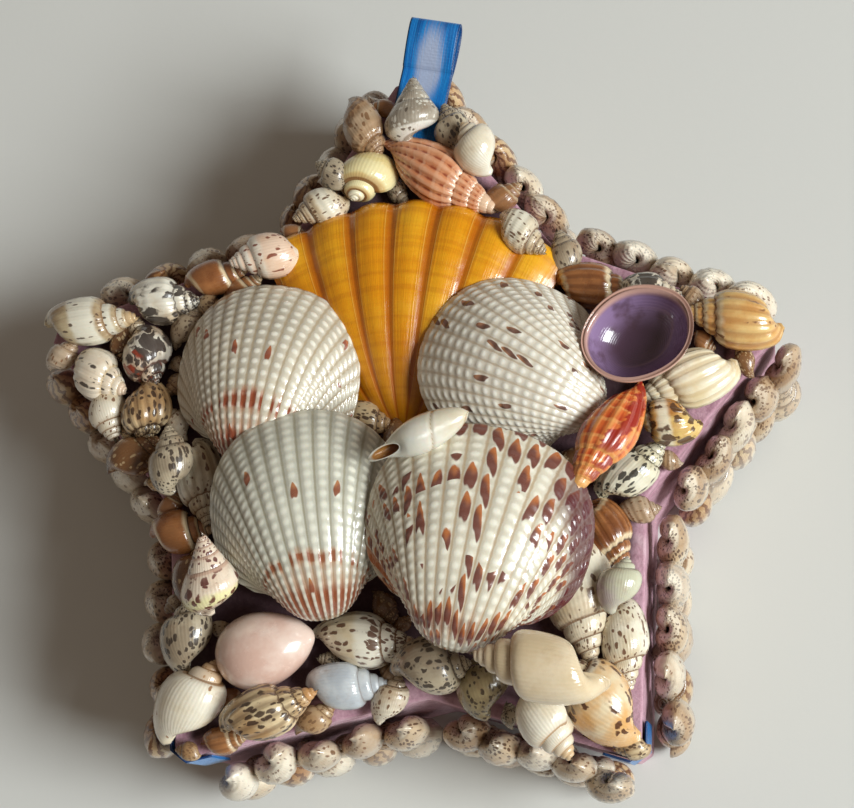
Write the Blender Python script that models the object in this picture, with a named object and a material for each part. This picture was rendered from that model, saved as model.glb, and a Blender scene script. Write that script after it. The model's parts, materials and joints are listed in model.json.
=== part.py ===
"""Star-shaped trinket box covered in sea shells, with a lid on two ribbon hinges. Metres, +Z up."""

import math
import random

import bmesh
import bpy
from mathutils import Matrix, Vector
from mathutils.bvhtree import BVHTree
from mathutils.geometry import intersect_line_line_2d

MM = 0.001

# The box
TIP_RADIUS = 0.0535  # centre to where the two edges of a tip would meet
CORNER_RADIUS = 0.0345  # centre to an inner corner
TIP_FLAT = 0.0022  # each tip is cut off this wide
BASE_HEIGHT = 0.0245
WALL = 0.0022
FLOOR = 0.0022
LID_THICKNESS = 0.0025
GAP = 0.0003  # between neighbouring pieces

# The box was cut by hand: how far a point of the star is off, by its angle
OFF_TRUE = {
    18: (0.5 * MM, -1.6 * MM),
    -18: (-0.2 * MM, 2.2 * MM),
    54: (0.0, -1.0 * MM),
    90: (-1.0 * MM, -0.6 * MM),
    -90: (3.2 * MM, -0.6 * MM),
    126: (3.0 * MM, 0.8 * MM),
    162: (-1.5 * MM, 0.3 * MM),
    -162: (-0.4 * MM, 1.8 * MM),
}

# Ribbons
RIBBON_WIDTH = 0.0072
RIBBON_THICKNESS = 0.0004
LOOP_LENGTH = 0.0172  # from the start of its tail on the lid to the fold
LOOP_TAIL = 0.0098  # the part where both layers lie together
LOOP_RISE = 0.0026
LOOP_HEADING = 78.0
HINGE_WING = 0.0036  # how far a hinge ribbon reaches round each side of a tip
HINGE_DROP = 0.0075  # how far it runs down the wall
HINGE_TIPS = {"hinge_ribbon_left": 2, "hinge_ribbon_right": 3}  # counted anticlockwise from the top tip

# Shells on the walls: two rows, each shell a little longer and wider than its share so that they touch
SHELL_LENGTH_SHARE = 0.54  # of the walls' height
SHELL_WIDTH_SHARE = 0.31  # of a wall's length
SHELL_THICKNESS = 0.0050
SHELL_PLACES = (0.125, 0.375, 0.61, 0.84)  # along a wall, from its tip or from the corner before it

LID_BOTTOM = BASE_HEIGHT + GAP
LID_TOP = LID_BOTTOM + LID_THICKNESS

# Outline of a snail shell from its open end to the tip of the spire: share of the length, share of the width
SNAILS = {
    "whelk": [(0.05, 0.34), (0.25, 0.86), (0.44, 1.0), (0.66, 0.70), (0.87, 0.30)],
    "spindle": [(0.05, 0.26), (0.25, 0.74), (0.44, 1.0), (0.68, 0.66), (0.89, 0.28)],
    "globe": [(0.07, 0.56), (0.25, 0.93), (0.46, 1.0), (0.70, 0.70), (0.90, 0.34)],
    "cone": [(0.05, 0.60), (0.18, 0.94), (0.34, 1.0), (0.62, 0.66), (0.87, 0.30)],
    "bean": [(0.08, 0.56), (0.27, 0.90), (0.50, 1.0), (0.73, 0.90), (0.92, 0.56)],
}
WALL_SNAIL = [(0.08, 0.62), (0.36, 1.0), (0.74, 0.66)]

# Valves: where the middle is, as its bearing from the centre and its share of the way to the star's edge;
# heading from the hinge to the rim, length, width, height, rise of the rim, roll (millimetres, degrees)
VALVES = [
    ("scallop", "fan", 86.6, 0.353, 86, 32.0, 44.0, 6.5, 5, 0),
    ("cockle_1", "cockle", 154.0, 0.429, 82, 24.8, 25.0, 9.0, 5, -2),
    ("cockle_2", "cockle", 28.2, 0.405, 152, 24.8, 23.0, 8.5, 8, 0),
    ("cockle_3", "cockle", -135.6, 0.363, 98, 27.0, 25.2, 9.5, 10, 6),
    ("cockle_4", "cockle", -55.0, 0.359, 76, 28.2, 29.0, 9.5, 9, 7),
]

# Snails on the lid: bearing and share of the middle, heading of the spire, length, width, lean of the spire
# (millimetres and degrees)
LID_SNAILS = [
    ("right_low_grey", "whelk", -42.7, 0.756, -78, 15.0, 8.0, 0),
    ("low_bean", "bean", -121.5, 0.672, 15, 14.0, 11.0, 4),
    ("low_striped", "spindle", -100.5, 0.736, -5, 14.4, 7.0, 4),
    ("top_ribbed", "spindle", 82.1, 0.813, -32, 18.6, 7.4, 2),
    ("top_cone", "cone", 89.3, 0.897, 92, 8.4, 7.2, 4),
    ("top_yellow", "globe", 96.5, 0.791, -105, 7.8, 7.2, 30),
    ("left_tip_whelk", "whelk", 158.3, 0.95, 5, 12.4, 6.6, 4),
    ("left_orange_white", "whelk", 127.2, 0.922, 195, 9.4, 6.4, 10),
    ("left_beaded", "whelk", 167.5, 0.898, -27, 9.0, 6.9, 8),
    ("left_striped", "globe", 161.0, 0.707, -60, 8.0, 7.0, 8),
    ("left_spotted", "whelk", -169.5, 0.772, -75, 11.8, 6.4, 6),
    ("low_cream", "globe", -128.1, 0.859, 62, 11.4, 8.8, 6),
    ("low_mottled", "whelk", -115.5, 0.88, 25, 12.8, 6.7, 4),
    ("right_low_orange", "globe", -53.7, 0.846, 140, 11.6, 9.0, 6),
    ("right_low_white", "whelk", -61.3, 0.948, -55, 10.4, 7.2, 0),
    ("right_tip_cream", "whelk", 18.2, 0.917, 172, 12.4, 7.4, 0),
    ("right_ribbed_white", "whelk", 9.3, 0.849, 205, 13.2, 7.4, 4),
    ("right_up_orange", "whelk", 38.5, 0.86, -5, 11.4, 6.1, 0),
    ("left_black_white", "whelk", 149.2, 0.919, 3, 9.6, 6.4, 0),
    ("left_brown", "whelk", 138.4, 0.948, 18, 8.6, 5.1, 0),
    ("left_brown_white", "globe", 173.0, 0.848, -80, 8.0, 6.8, 0),
    ("left_low_grey", "whelk", -174.1, 0.845, 100, 8.6, 6.0, 0),
    ("left_banded", "whelk", -158.8, 0.901, 10, 8.0, 6.0, 0),
    ("low_brown", "globe", -147.3, 0.874, 80, 7.6, 6.2, 0),
    ("low_speckled", "globe", -137.9, 0.919, 95, 9.0, 7.2, 0),
    ("low_glassy", "whelk", -100.7, 0.873, 4, 9.6, 6.0, 0),
    ("low_grey_speckled", "globe", -83.1, 0.851, 12, 9.0, 7.8, 0),
    ("right_low_mottled", "globe", -72.0, 0.885, 100, 8.0, 7.2, 0),
    ("right_low_spotted", "whelk", -44.9, 0.898, -82, 11.0, 6.0, 0),
    ("right_low_lilac", "globe", -36.9, 0.878, 80, 6.6, 5.6, 0),
    ("right_low_brown", "whelk", -26.6, 0.865, -60, 9.8, 6.2, 0),
    ("right_yellow_brown", "globe", 2.8, 0.879, 180, 7.6, 6.0, 0),
    ("right_black_spots", "whelk", -9.1, 0.884, 45, 10.8, 6.1, 0),
    ("right_up_black_white", "whelk", 30.2, 0.927, -3, 7.6, 5.0, 0),
    ("top_grey", "whelk", 99.5, 0.83, 150, 7.0, 5.6, 0),
    ("top_left_white", "whelk", 109.3, 0.879, 205, 7.6, 5.4, 0),
    ("top_right_grey", "whelk", 82.7, 0.979, 112, 6.8, 5.0, 0),
    ("top_right_white", "globe", 77.2, 0.962, 125, 6.8, 6.0, 10),
    ("top_corner_pale", "whelk", 58.2, 0.926, -38, 7.8, 5.4, 0),
    ("low_dotted_cone", "cone", -142.3, 0.75, 98, 11.0, 8.4, 24),
    ("right_red_spindle", "spindle", -4.7, 0.745, -117, 18.2, 6.7, 16),
    ("right_low_spiral", "globe", -58.0, 0.755, 172, 19.6, 11.6, -4),
]

# Snails that lean over their neighbours, the last ones laid
OVER_OTHERS = ("low_dotted_cone", "right_red_spindle", "right_low_spiral")

# Two shells that rest on top of the others
CENTRE = ("centre_shell", "spindle", -33.7, 0.137, -156, 15.4, 5.2, -4)
CUP = ("purple_cup", 18.9, 0.665, 20, 15.0, 13.2, 5.6, 1.1)  # the last three: width, depth, wall
CUP_LEAN = 6
CUP_ROLL = -8

COLOURS = {
    "flock": (0.47, 0.30, 0.36, 1.0),
    "ribbon": (0.02, 0.14, 0.42, 1.0),
    "shell": (0.72, 0.66, 0.56, 1.0),
    "orange": (0.78, 0.36, 0.04, 1.0),
    "purple": (0.30, 0.18, 0.32, 1.0),
}


def clear_scene():
    for obj in list(bpy.data.objects):
        bpy.data.objects.remove(obj, do_unlink=True)


def material(name, colour, roughness):
    found = bpy.data.materials.new(name)
    found.use_nodes = True
    shader = found.node_tree.nodes["Principled BSDF"]
    shader.inputs["Base Color"].default_value = colour
    shader.inputs["Roughness"].default_value = roughness
    return found


def add_object(name, points, faces, colour, roughness=0.35, smooth=True):
    """One closed piece from points and faces."""
    mesh = bpy.data.meshes.new(name)
    mesh.from_pydata([tuple(p) for p in points], [], faces)
    shape = bmesh.new()
    shape.from_mesh(mesh)
    bmesh.ops.recalc_face_normals(shape, faces=shape.faces)
    shape.to_mesh(mesh)
    shape.free()
    if smooth:
        mesh.shade_smooth()
    obj = bpy.data.objects.new(name, mesh)
    obj.data.materials.append(material(name + "_finish", COLOURS[colour], roughness))
    bpy.context.collection.objects.link(obj)
    return obj


def moved(points, matrix):
    return [matrix @ Vector(p) for p in points]


# The star


def sharp_star():
    """The ten points of the star, anticlockwise, with where each lies by its angle."""
    points = []
    for step in range(10):
        angle = 90 + 36 * step
        angle = angle - 360 if angle > 180 else angle
        radius = TIP_RADIUS if step % 2 == 0 else CORNER_RADIUS
        off_x, off_y = OFF_TRUE.get(angle, (0.0, 0.0))
        turn = math.radians(angle)
        points.append(Vector((radius * math.cos(turn) + off_x, radius * math.sin(turn) + off_y)))
    return points


def offset(points, distance):
    """The closed outline moved outwards by distance, each edge parallel to its old place."""
    result = []
    count = len(points)
    for i in range(count):
        before, here, after = points[i - 1], points[i], points[(i + 1) % count]
        along_in = (here - before).normalized()
        along_out = (after - here).normalized()
        out_in = Vector((along_in.y, -along_in.x))
        out_out = Vector((along_out.y, -along_out.x))
        middle = (out_in + out_out).normalized()
        result.append(here + middle * (distance / middle.dot(out_in)))
    return result


def blunted(points, flat):
    """The star with each tip cut off square, flat wide."""
    result = []
    for i, here in enumerate(points):
        if i % 2:
            result.append(here)
            continue
        back = (points[i - 1] - here).normalized()
        on = (points[(i + 1) % 10] - here).normalized()
        cut = flat / (back - on).length
        result += [here + back * cut, here + on * cut]
    return result


def on_star(outline, bearing, share):
    """The place this share of the way from the middle to the star's edge, in the direction of bearing."""
    turn = math.radians(bearing)
    far = Vector((math.cos(turn), math.sin(turn)))
    for a, b in zip(outline, outline[1:] + outline[:1]):
        edge = intersect_line_line_2d(Vector((0.0, 0.0)), far, a, b)
        if edge:
            return edge * share
    raise ValueError("the star has no edge there")


def star_prism(outer, low, high):
    """Points and faces of a solid plate with this outline."""
    count = len(outer)
    points = [(p.x, p.y, low) for p in outer] + [(p.x, p.y, high) for p in outer]
    faces = [list(range(count - 1, -1, -1)), list(range(count, 2 * count))]
    faces += [[i, (i + 1) % count, count + (i + 1) % count, count + i] for i in range(count)]
    return points, faces


def make_base(outline, hollow):
    """A star tray: outer wall, rim, inner wall and floor in one skin."""
    count = len(outline)
    rings = [(outline, 0.0), (outline, BASE_HEIGHT), (hollow, BASE_HEIGHT), (hollow, FLOOR)]
    points = [(p.x, p.y, height) for ring, height in rings for p in ring]
    faces = [list(range(count - 1, -1, -1)), [3 * count + i for i in range(count)]]
    for ring in range(3):
        low, high = ring * count, (ring + 1) * count
        faces += [[low + i, low + (i + 1) % count, high + (i + 1) % count, high + i] for i in range(count)]
    return add_object("box_base", points, faces, "flock", 0.95, smooth=False)


def make_lid(outline):
    points, faces = star_prism(outline, LID_BOTTOM, LID_TOP)
    return add_object("box_lid", points, faces, "flock", 0.95, smooth=False)


# Ribbons


def make_hinge(name, outline, tip):
    """A ribbon glued round a tip, up the base's wall and on over the lid's edge."""
    first = 3 * tip  # the blunt outline has three points to a tip and its corner
    near = offset(outline, GAP)
    far = offset(outline, GAP + RIBBON_THICKNESS)
    count = len(outline)

    def path(ring):
        before, a, b, after = (ring[(first + k) % count] for k in (-1, 0, 1, 2))
        start = a + (before - a).normalized() * HINGE_WING
        end = b + (after - b).normalized() * HINGE_WING
        return [start, a, b, end]

    band = path(far) + path(near)[::-1]
    points, faces = star_prism(band, BASE_HEIGHT - HINGE_DROP, LID_TOP)
    return add_object(name, points, faces, "ribbon", 0.3, smooth=False)


def make_pull_loop():
    """A ribbon folded back on itself: the two ends lie together on the lid, the fold stands out as a loop."""
    tail = LOOP_TAIL
    steps = 7
    outer, inner = [], []
    span = LOOP_LENGTH - tail
    for i in range(2 * steps + 1):
        # 0 where the layers part below, 1 at the fold, 2 where they meet again above
        share = i / steps
        side = -1 if share < 1 else 1
        reach = share if share <= 1 else 2 - share
        along = tail + span * math.sin(reach * math.pi / 2)
        opening = 0.5 * LOOP_RISE * math.sin(math.pi * reach) ** 0.8 * side if 0 < reach < 1 else 0.0
        lift = 0.5 * LOOP_RISE * reach
        middle = RIBBON_THICKNESS + lift
        if i in (0, 2 * steps):
            inner.append((tail + 0.0004, RIBBON_THICKNESS))
            outer.append((tail, middle + side * RIBBON_THICKNESS))
        elif i == steps:
            inner.append((along - RIBBON_THICKNESS, middle))
            outer.append((along, middle))
        else:
            inner.append((along - 0.3 * RIBBON_THICKNESS, middle + opening))
            outer.append((along, middle + opening + side * RIBBON_THICKNESS))
    count = len(outer)
    section = outer + inner[1:-1] + [inner[0]] + [(0.0, 0.0), (0.0, 2 * RIBBON_THICKNESS)]
    cusp = count + len(inner) - 2
    tail_low, tail_high = cusp + 1, cusp + 2

    def inner_at(i):
        return cusp if i in (0, count - 1) else count + i - 1

    flats = [[tail_low, 0, cusp, count - 1, tail_high]]
    for i in range(count - 1):
        quad = [i, i + 1, inner_at(i + 1), inner_at(i)]
        flats.append(list(dict.fromkeys(quad)))
    size = len(section)
    points = [(-RIBBON_WIDTH / 2, along, up) for along, up in section]
    points += [(RIBBON_WIDTH / 2, along, up) for along, up in section]
    faces = [flat[::-1] for flat in flats] + [[i + size for i in flat] for flat in flats]
    edge = list(range(count)) + [tail_high, tail_low]
    faces += [[a, b, b + size, a + size] for a, b in zip(edge, edge[1:] + edge[:1])]
    hole = [inner_at(i) for i in range(count - 1)]
    faces += [[a, a + size, b + size, b] for a, b in zip(hole, hole[1:] + hole[:1])]
    turn = Matrix.Rotation(math.radians(LOOP_HEADING - 90), 4, "Z")
    place = Matrix.Translation((0.6 * MM, TIP_RADIUS - 10.5 * MM, LID_TOP + GAP))
    return add_object("pull_loop", moved(points, place @ turn), faces, "ribbon", 0.3, smooth=False)


# Shells


def snail(length, width, rings, sides=8, flatness=0.88):
    """A snail shell with its axis along X and its spire at +X."""
    points = [(-length / 2, 0, 0)]
    for share, size in rings:
        radius = size * width / 2
        for side in range(sides):
            turn = 2 * math.pi * side / sides
            across, up = radius * math.cos(turn), flatness * radius * math.sin(turn)
            points.append((length * (share - 0.5), across, up))
    points.append((length / 2, 0, 0))
    faces = []
    last = len(points) - 1
    top = 1 + (len(rings) - 1) * sides
    for side in range(sides):
        after = (side + 1) % sides
        faces.append([0, 1 + after, 1 + side])
        faces.append([last, top + side, top + after])
        for ring in range(len(rings) - 1):
            low = 1 + ring * sides
            high = low + sides
            faces.append([low + side, low + after, high + after, high + side])
    return points, faces


def cockle(length, width, height, columns=16, rows=5):
    """A domed valve, hollow side down: hinge at the back (-Y), rim all round in the plane z = 0."""
    points = [(0, -length / 2, 0.10 * height)]
    for row in range(1, rows + 1):
        out = (row / rows) ** 0.8
        for column in range(columns):
            turn = math.radians(-90 + 360 * (column + 0.5) / columns)
            rim_x = width / 2 * math.cos(turn)
            rim_y = length / 2 * math.sin(turn) + length / 2
            reach = math.hypot(rim_x, rim_y) / length
            up = height * 1.72 * out**0.55 * (1 - out) ** 0.62 * min(1.0, reach) ** 0.7 * 1.05
            points.append((rim_x * out, rim_y * out - length / 2, 0.0 if row == rows else up))
    faces = [[0, 1 + c, 1 + c + 1] for c in range(columns - 1)]
    for row in range(rows - 1):
        low = 1 + row * columns
        for c in range(columns - 1):
            faces.append([low + c, low + columns + c, low + columns + c + 1, low + c + 1])
    # the narrow strip behind the hinge closes the ring
    for row in range(rows - 1):
        low = 1 + row * columns
        faces.append([low + columns - 1, low + 2 * columns - 1, low + columns, low])
    faces.append([0, columns, 1])
    base = 1 + (rows - 1) * columns
    faces.append([base + c for c in range(columns)])
    return points, faces


def fan(length, width, height, ribs=9, rows=4):
    """A ribbed fan valve, hollow side down, hinge at the back (-Y)."""
    half = math.asin(min(0.95, width / 2 / length))
    columns = 2 * ribs + 1
    points = [(0, -length / 2, 0.0)]
    for row in range(1, rows + 1):
        out = row / rows
        for column in range(columns):
            share = 2 * column / (columns - 1) - 1
            turn = half * share
            crest = 1 if column % 2 else -1
            reach = length * (1 - 0.10 * share**2) * (1 + 0.012 * crest)
            up = height * 1.9 * out**0.6 * (1 - out) ** 0.5 * (1 - 0.62 * abs(share) ** 2.2)
            up = 0.0 if row == rows else up + crest * 0.035 * height * out
            points.append((reach * out * math.sin(turn), reach * out * math.cos(turn) - length / 2, up))
    faces = [[0, 1 + c + 1, 1 + c] for c in range(columns - 1)]
    for row in range(rows - 1):
        low = 1 + row * columns
        for c in range(columns - 1):
            faces.append([low + c, low + c + 1, low + columns + c + 1, low + columns + c])
    rim = 1 + (rows - 1) * columns
    sides = [1 + row * columns for row in range(rows)]
    ends = [row * columns for row in range(1, rows + 1)]
    # the underside, with both straight sides standing up from it
    faces.append([0] + [rim + c for c in range(columns)])
    faces.append([0] + sides)
    faces.append([0] + ends[::-1])
    return points, faces


def cup(length, width, depth, thickness, sides=14):
    """A deep valve lying hollow side up, its rim at z = 0."""
    profile = [(0.40, -1.0), (0.78, -0.74), (1.0, 0.0)]
    points = [(0, 0, -depth)]
    for share, drop in profile:
        for side in range(sides):
            turn = 2 * math.pi * side / sides
            points.append(
                (share * length / 2 * math.cos(turn), share * width / 2 * math.sin(turn), drop * depth * 0.98)
            )
    for share, drop in profile[::-1]:
        for side in range(sides):
            turn = 2 * math.pi * side / sides
            inner_x = share * (length / 2 - thickness) * math.cos(turn)
            inner_y = share * (width / 2 - thickness) * math.sin(turn)
            points.append((inner_x, inner_y, drop * (depth - thickness) * 0.98))
    points.append((0, 0, thickness - depth))
    rings = 2 * len(profile)
    faces = []
    for side in range(sides):
        after = (side + 1) % sides
        faces.append([0, 1 + after, 1 + side])
        for ring in range(rings - 1):
            low = 1 + ring * sides
            faces.append([low + side, low + after, low + sides + after, low + sides + side])
        top = 1 + (rings - 1) * sides
        faces.append([top + side, top + after, len(points) - 1])
    return points, faces


def swollen(points, faces, by):
    """The points moved outwards by about this much, for testing clearance."""
    mesh = bpy.data.meshes.new("swollen")
    mesh.from_pydata([tuple(p) for p in points], [], faces)
    shape = bmesh.new()
    shape.from_mesh(mesh)
    bmesh.ops.recalc_face_normals(shape, faces=shape.faces)
    shape.normal_update()
    grown = [v.co + v.normal * by for v in shape.verts]
    shape.free()
    bpy.data.meshes.remove(mesh)
    return grown


class Pile:
    """The shells laid so far, against which the next one is lowered."""

    def __init__(self):
        self.points = []
        self.faces = []
        self.tree = None

    def add(self, points, faces):
        start = len(self.points)
        self.points += [Vector(p) for p in points]
        self.faces += [[start + i for i in face] for face in faces]
        self.tree = BVHTree.FromPolygons(self.points, self.faces)

    def touches(self, points, faces):
        return bool(self.tree and self.tree.overlap(BVHTree.FromPolygons(points, faces)))

    def rest_height(self, points, faces, on_top):
        """How far up the piece clears the pile: nestled in as low as it fits, or resting on top."""
        grown = swollen(points, faces, 1.25 * GAP)
        step = 0.0003

        def blocked(height):
            return self.touches([p + Vector((0, 0, height)) for p in grown], faces)

        height = 0.0
        if not on_top:
            while blocked(height):
                height += step
            return height
        height = 0.015
        while height > 0 and not blocked(height - step):
            height -= step
        return max(height, 0.0)


def lay(pile, points, faces, where, turn, slack=0.0, on_top=False):
    """Turns the piece, finds the lowest place within slack of where and adds it to the pile there."""
    points = moved(points, turn)
    floor = LID_TOP + GAP - min(p.z for p in points)
    best = None
    for ring in (0, 0.5, 1):
        for spoke in range(8 if ring else 1):
            angle = math.pi / 4 * spoke
            dx, dy = slack * ring * math.cos(angle), slack * ring * math.sin(angle)
            spot = [p + Vector((where.x + dx, where.y + dy, floor)) for p in points]
            height = pile.rest_height(spot, faces, on_top)
            cost = height + 0.5 * slack * ring
            if best is None or cost < best[0]:
                best = (cost, [p + Vector((0, 0, height)) for p in spot])
        if slack == 0:
            break
    pile.add(best[1], faces)
    return best[1]


def angles(heading, lean, roll=0.0):
    """A turn that points +X along heading, raised by lean."""
    return (
        Matrix.Rotation(math.radians(heading), 4, "Z")
        @ Matrix.Rotation(math.radians(-lean), 4, "Y")
        @ Matrix.Rotation(math.radians(roll), 4, "X")
    )


def make_lid_shells(pile, outline):
    for name, kind, bearing, share, heading, length, width, height, rise, roll in VALVES:
        shape = fan if kind == "fan" else cockle
        points, faces = shape(length * MM, width * MM, height * MM)
        # a valve is modelled with its rim towards +Y, so it is first turned to face +X
        turn = angles(heading, rise, roll) @ Matrix.Rotation(math.radians(-90), 4, "Z")
        placed = lay(pile, points, faces, on_star(outline, bearing, share), turn, slack=0.9 * MM)
        add_object(name, placed, faces, "orange" if kind == "fan" else "shell")
    for name, kind, bearing, share, heading, length, width, lean in LID_SNAILS:
        points, faces = snail(length * MM, width * MM, SNAILS[kind])
        where = on_star(outline, bearing, share)
        over = name in OVER_OTHERS
        slack = 0.6 * MM if over else 1.2 * MM
        placed = lay(pile, points, faces, where, angles(heading, lean), slack, on_top=over)
        add_object(name, placed, faces, "shell")
    name, kind, bearing, share, heading, length, width, lean = CENTRE
    points, faces = snail(length * MM, width * MM, SNAILS[kind])
    where = on_star(outline, bearing, share)
    placed = lay(pile, points, faces, where, angles(heading, lean), slack=0.6 * MM, on_top=True)
    add_object(name, placed, faces, "shell")
    name, bearing, share, heading, length, width, depth, thickness = CUP
    points, faces = cup(length * MM, width * MM, depth * MM, thickness * MM)
    where = on_star(outline, bearing, share)
    placed = lay(pile, points, faces, where, angles(heading, CUP_LEAN, CUP_ROLL), slack=0.8 * MM, on_top=True)
    add_object(name, placed, faces, "purple")


def wall_shell(rng, spot, outward, wall_length, upper):
    """A small whelk standing against a wall, clear of it by the gap."""
    length = SHELL_LENGTH_SHARE * BASE_HEIGHT * rng.uniform(0.96, 1.0)
    width = SHELL_WIDTH_SHARE * wall_length * rng.uniform(0.97, 1.04)
    # six sides are flatter than the round shell they stand for, so the thickness is made up
    points, faces = snail(length, width, WALL_SNAIL, sides=6, flatness=1.15 * SHELL_THICKNESS / width)
    up = 90 if rng.random() < 0.6 else -90
    heading = math.degrees(math.atan2(outward.y, outward.x)) + rng.uniform(-8, 8)
    stand = Matrix.Rotation(math.radians(heading), 4, "Z") @ Matrix.Rotation(math.radians(-up), 4, "Y")
    lean = Matrix.Rotation(math.radians(rng.uniform(-7, 7)), 4, Vector((outward.x, outward.y, 0)))
    points = moved(points, lean @ stand)
    inward = min(Vector((p.x, p.y)).dot(outward) for p in points)
    if upper:
        lift = BASE_HEIGHT - 0.6 * MM - max(p.z for p in points)
    else:
        lift = 0.6 * MM - min(p.z for p in points)
    place = spot + outward * (-inward)
    return [p + Vector((place.x, place.y, lift)) for p in points], faces


def wall_spots(outline, corner):
    """Places along the two walls at this inner corner, each with which way is out and the wall's length."""
    count = len(outline)
    middle = 3 * corner + 2
    start, here, end = (outline[(middle + k) % count] for k in (-1, 0, 1))
    tips = {0: corner, 2 * len(SHELL_PLACES) - 1: (corner + 1) % 5}
    spots = []
    for a, b in ((start, here), (here, end)):
        along = (b - a).normalized()
        outward = Vector((along.y, -along.x))
        for share in SHELL_PLACES:
            beside_hinge = tips.get(len(spots)) in HINGE_TIPS.values()
            clear = GAP + (RIBBON_THICKNESS + GAP if beside_hinge else 0)
            spots.append((a + (b - a) * share + outward * clear, outward, (b - a).length))
    return spots


def make_wall_shells(outline):
    """Five clusters, each the shells glued along two walls and touching one another."""
    for corner in range(5):
        rng = random.Random(40 + corner)
        pieces = []
        for spot, outward, wall_length in wall_spots(outline, corner):
            pieces += [wall_shell(rng, spot, outward, wall_length, upper) for upper in (False, True)]
        first = None
        cutters = bpy.data.collections.new(f"wall_shells_{corner + 1}_rest")
        bpy.context.scene.collection.children.link(cutters)
        cutters.hide_render = True
        for number, (points, faces) in enumerate(pieces):
            name = f"wall_shells_{corner + 1}" + (f"_more_{number}" if number else "")
            obj = add_object(name, points, faces, "shell")
            if number == 0:
                first = obj
                continue
            bpy.context.collection.objects.unlink(obj)
            cutters.objects.link(obj)
            obj.hide_render = True
            obj.display_type = "WIRE"
        joined = first.modifiers.new("joined", "BOOLEAN")
        joined.operation = "UNION"
        joined.solver = "EXACT"
        joined.operand_type = "COLLECTION"
        joined.collection = cutters


def main():
    clear_scene()
    sharp = sharp_star()
    outline = blunted(sharp, TIP_FLAT)
    hollow = blunted(offset(sharp, -WALL), 0.5 * TIP_FLAT)
    make_base(outline, hollow)
    make_lid(outline)
    for name, tip in HINGE_TIPS.items():
        make_hinge(name, outline, tip)
    pile = Pile()
    loop = make_pull_loop()
    pile.add([v.co.copy() for v in loop.data.vertices], [list(p.vertices) for p in loop.data.polygons])
    make_lid_shells(pile, outline)
    make_wall_shells(outline)


main()
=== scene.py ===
import json
import math
import random

import bpy
import numpy as np
from mathutils import Matrix, Vector
from mathutils.geometry import convex_hull_2d


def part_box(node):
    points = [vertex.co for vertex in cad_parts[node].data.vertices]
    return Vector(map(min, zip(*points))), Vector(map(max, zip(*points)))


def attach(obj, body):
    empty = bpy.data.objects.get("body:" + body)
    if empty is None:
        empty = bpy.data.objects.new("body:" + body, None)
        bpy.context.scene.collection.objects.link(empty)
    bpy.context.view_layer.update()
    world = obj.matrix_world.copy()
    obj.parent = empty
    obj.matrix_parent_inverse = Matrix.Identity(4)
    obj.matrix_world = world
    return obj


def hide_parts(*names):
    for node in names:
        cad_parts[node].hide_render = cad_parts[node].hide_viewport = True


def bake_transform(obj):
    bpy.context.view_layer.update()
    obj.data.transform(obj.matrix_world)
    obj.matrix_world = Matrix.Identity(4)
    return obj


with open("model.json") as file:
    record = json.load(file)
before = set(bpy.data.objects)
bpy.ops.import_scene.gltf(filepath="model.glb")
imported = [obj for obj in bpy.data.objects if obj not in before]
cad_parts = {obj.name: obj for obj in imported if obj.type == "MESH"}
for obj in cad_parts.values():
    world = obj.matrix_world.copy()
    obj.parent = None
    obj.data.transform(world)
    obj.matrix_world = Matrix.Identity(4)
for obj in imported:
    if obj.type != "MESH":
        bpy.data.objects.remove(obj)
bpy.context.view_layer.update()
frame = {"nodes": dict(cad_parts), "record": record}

mm = 0.001
scene = bpy.context.scene


# small helpers

def paint(red, green, blue):
    # screen colour, 0 to 255, to the numbers the shader wants
    def linear(value):
        value = value / 255
        return value / 12.92 if value <= 0.04045 else ((value + 0.055) / 1.055) ** 2.4
    return (linear(red), linear(green), linear(blue), 1.0)


def turned(heading, lean=0.0, roll=0.0):
    # points +X along heading, raised by lean, rolled about itself
    h, l, r = math.radians(heading), math.radians(-lean), math.radians(roll)
    aboutZ = np.array([[math.cos(h), -math.sin(h), 0], [math.sin(h), math.cos(h), 0], [0, 0, 1]])
    aboutY = np.array([[math.cos(l), 0, math.sin(l)], [0, 1, 0], [-math.sin(l), 0, math.cos(l)]])
    aboutX = np.array([[1, 0, 0], [0, math.cos(r), -math.sin(r)], [0, math.sin(r), math.cos(r)]])
    return aboutZ @ aboutY @ aboutX


def smoothCurve(knots, count):
    # an open curve through the knots, its points evenly spaced
    knots = np.array(knots, float)
    padded = np.vstack([2 * knots[0] - knots[1], knots, 2 * knots[-1] - knots[-2]])
    dense = []
    for a, b, c, d in zip(padded, padded[1:], padded[2:], padded[3:]):
        for t in np.linspace(0, 1, 16, endpoint=False):
            dense.append(0.5 * (2 * b + (c - a) * t + (2 * a - 5 * b + 4 * c - d) * t**2
                                + (3 * b - a - 3 * c + d) * t**3))
    dense = np.array(dense + [knots[-1]])
    run = np.concatenate([[0], np.cumsum(np.linalg.norm(np.diff(dense, axis=0), axis=1))])
    at = np.linspace(0, run[-1], count)
    return np.stack([np.interp(at, run, dense[:, k]) for k in range(dense.shape[1])], 1)


def gridFaces(rows, columns, wrap, first=0):
    # quads between neighbouring rows of points
    faces = []
    for row in range(rows - 1):
        low, high = first + row * columns, first + (row + 1) * columns
        for c in range(columns if wrap else columns - 1):
            after = (c + 1) % columns
            faces.append((low + c, low + after, high + after, high + c))
    return faces


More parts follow.
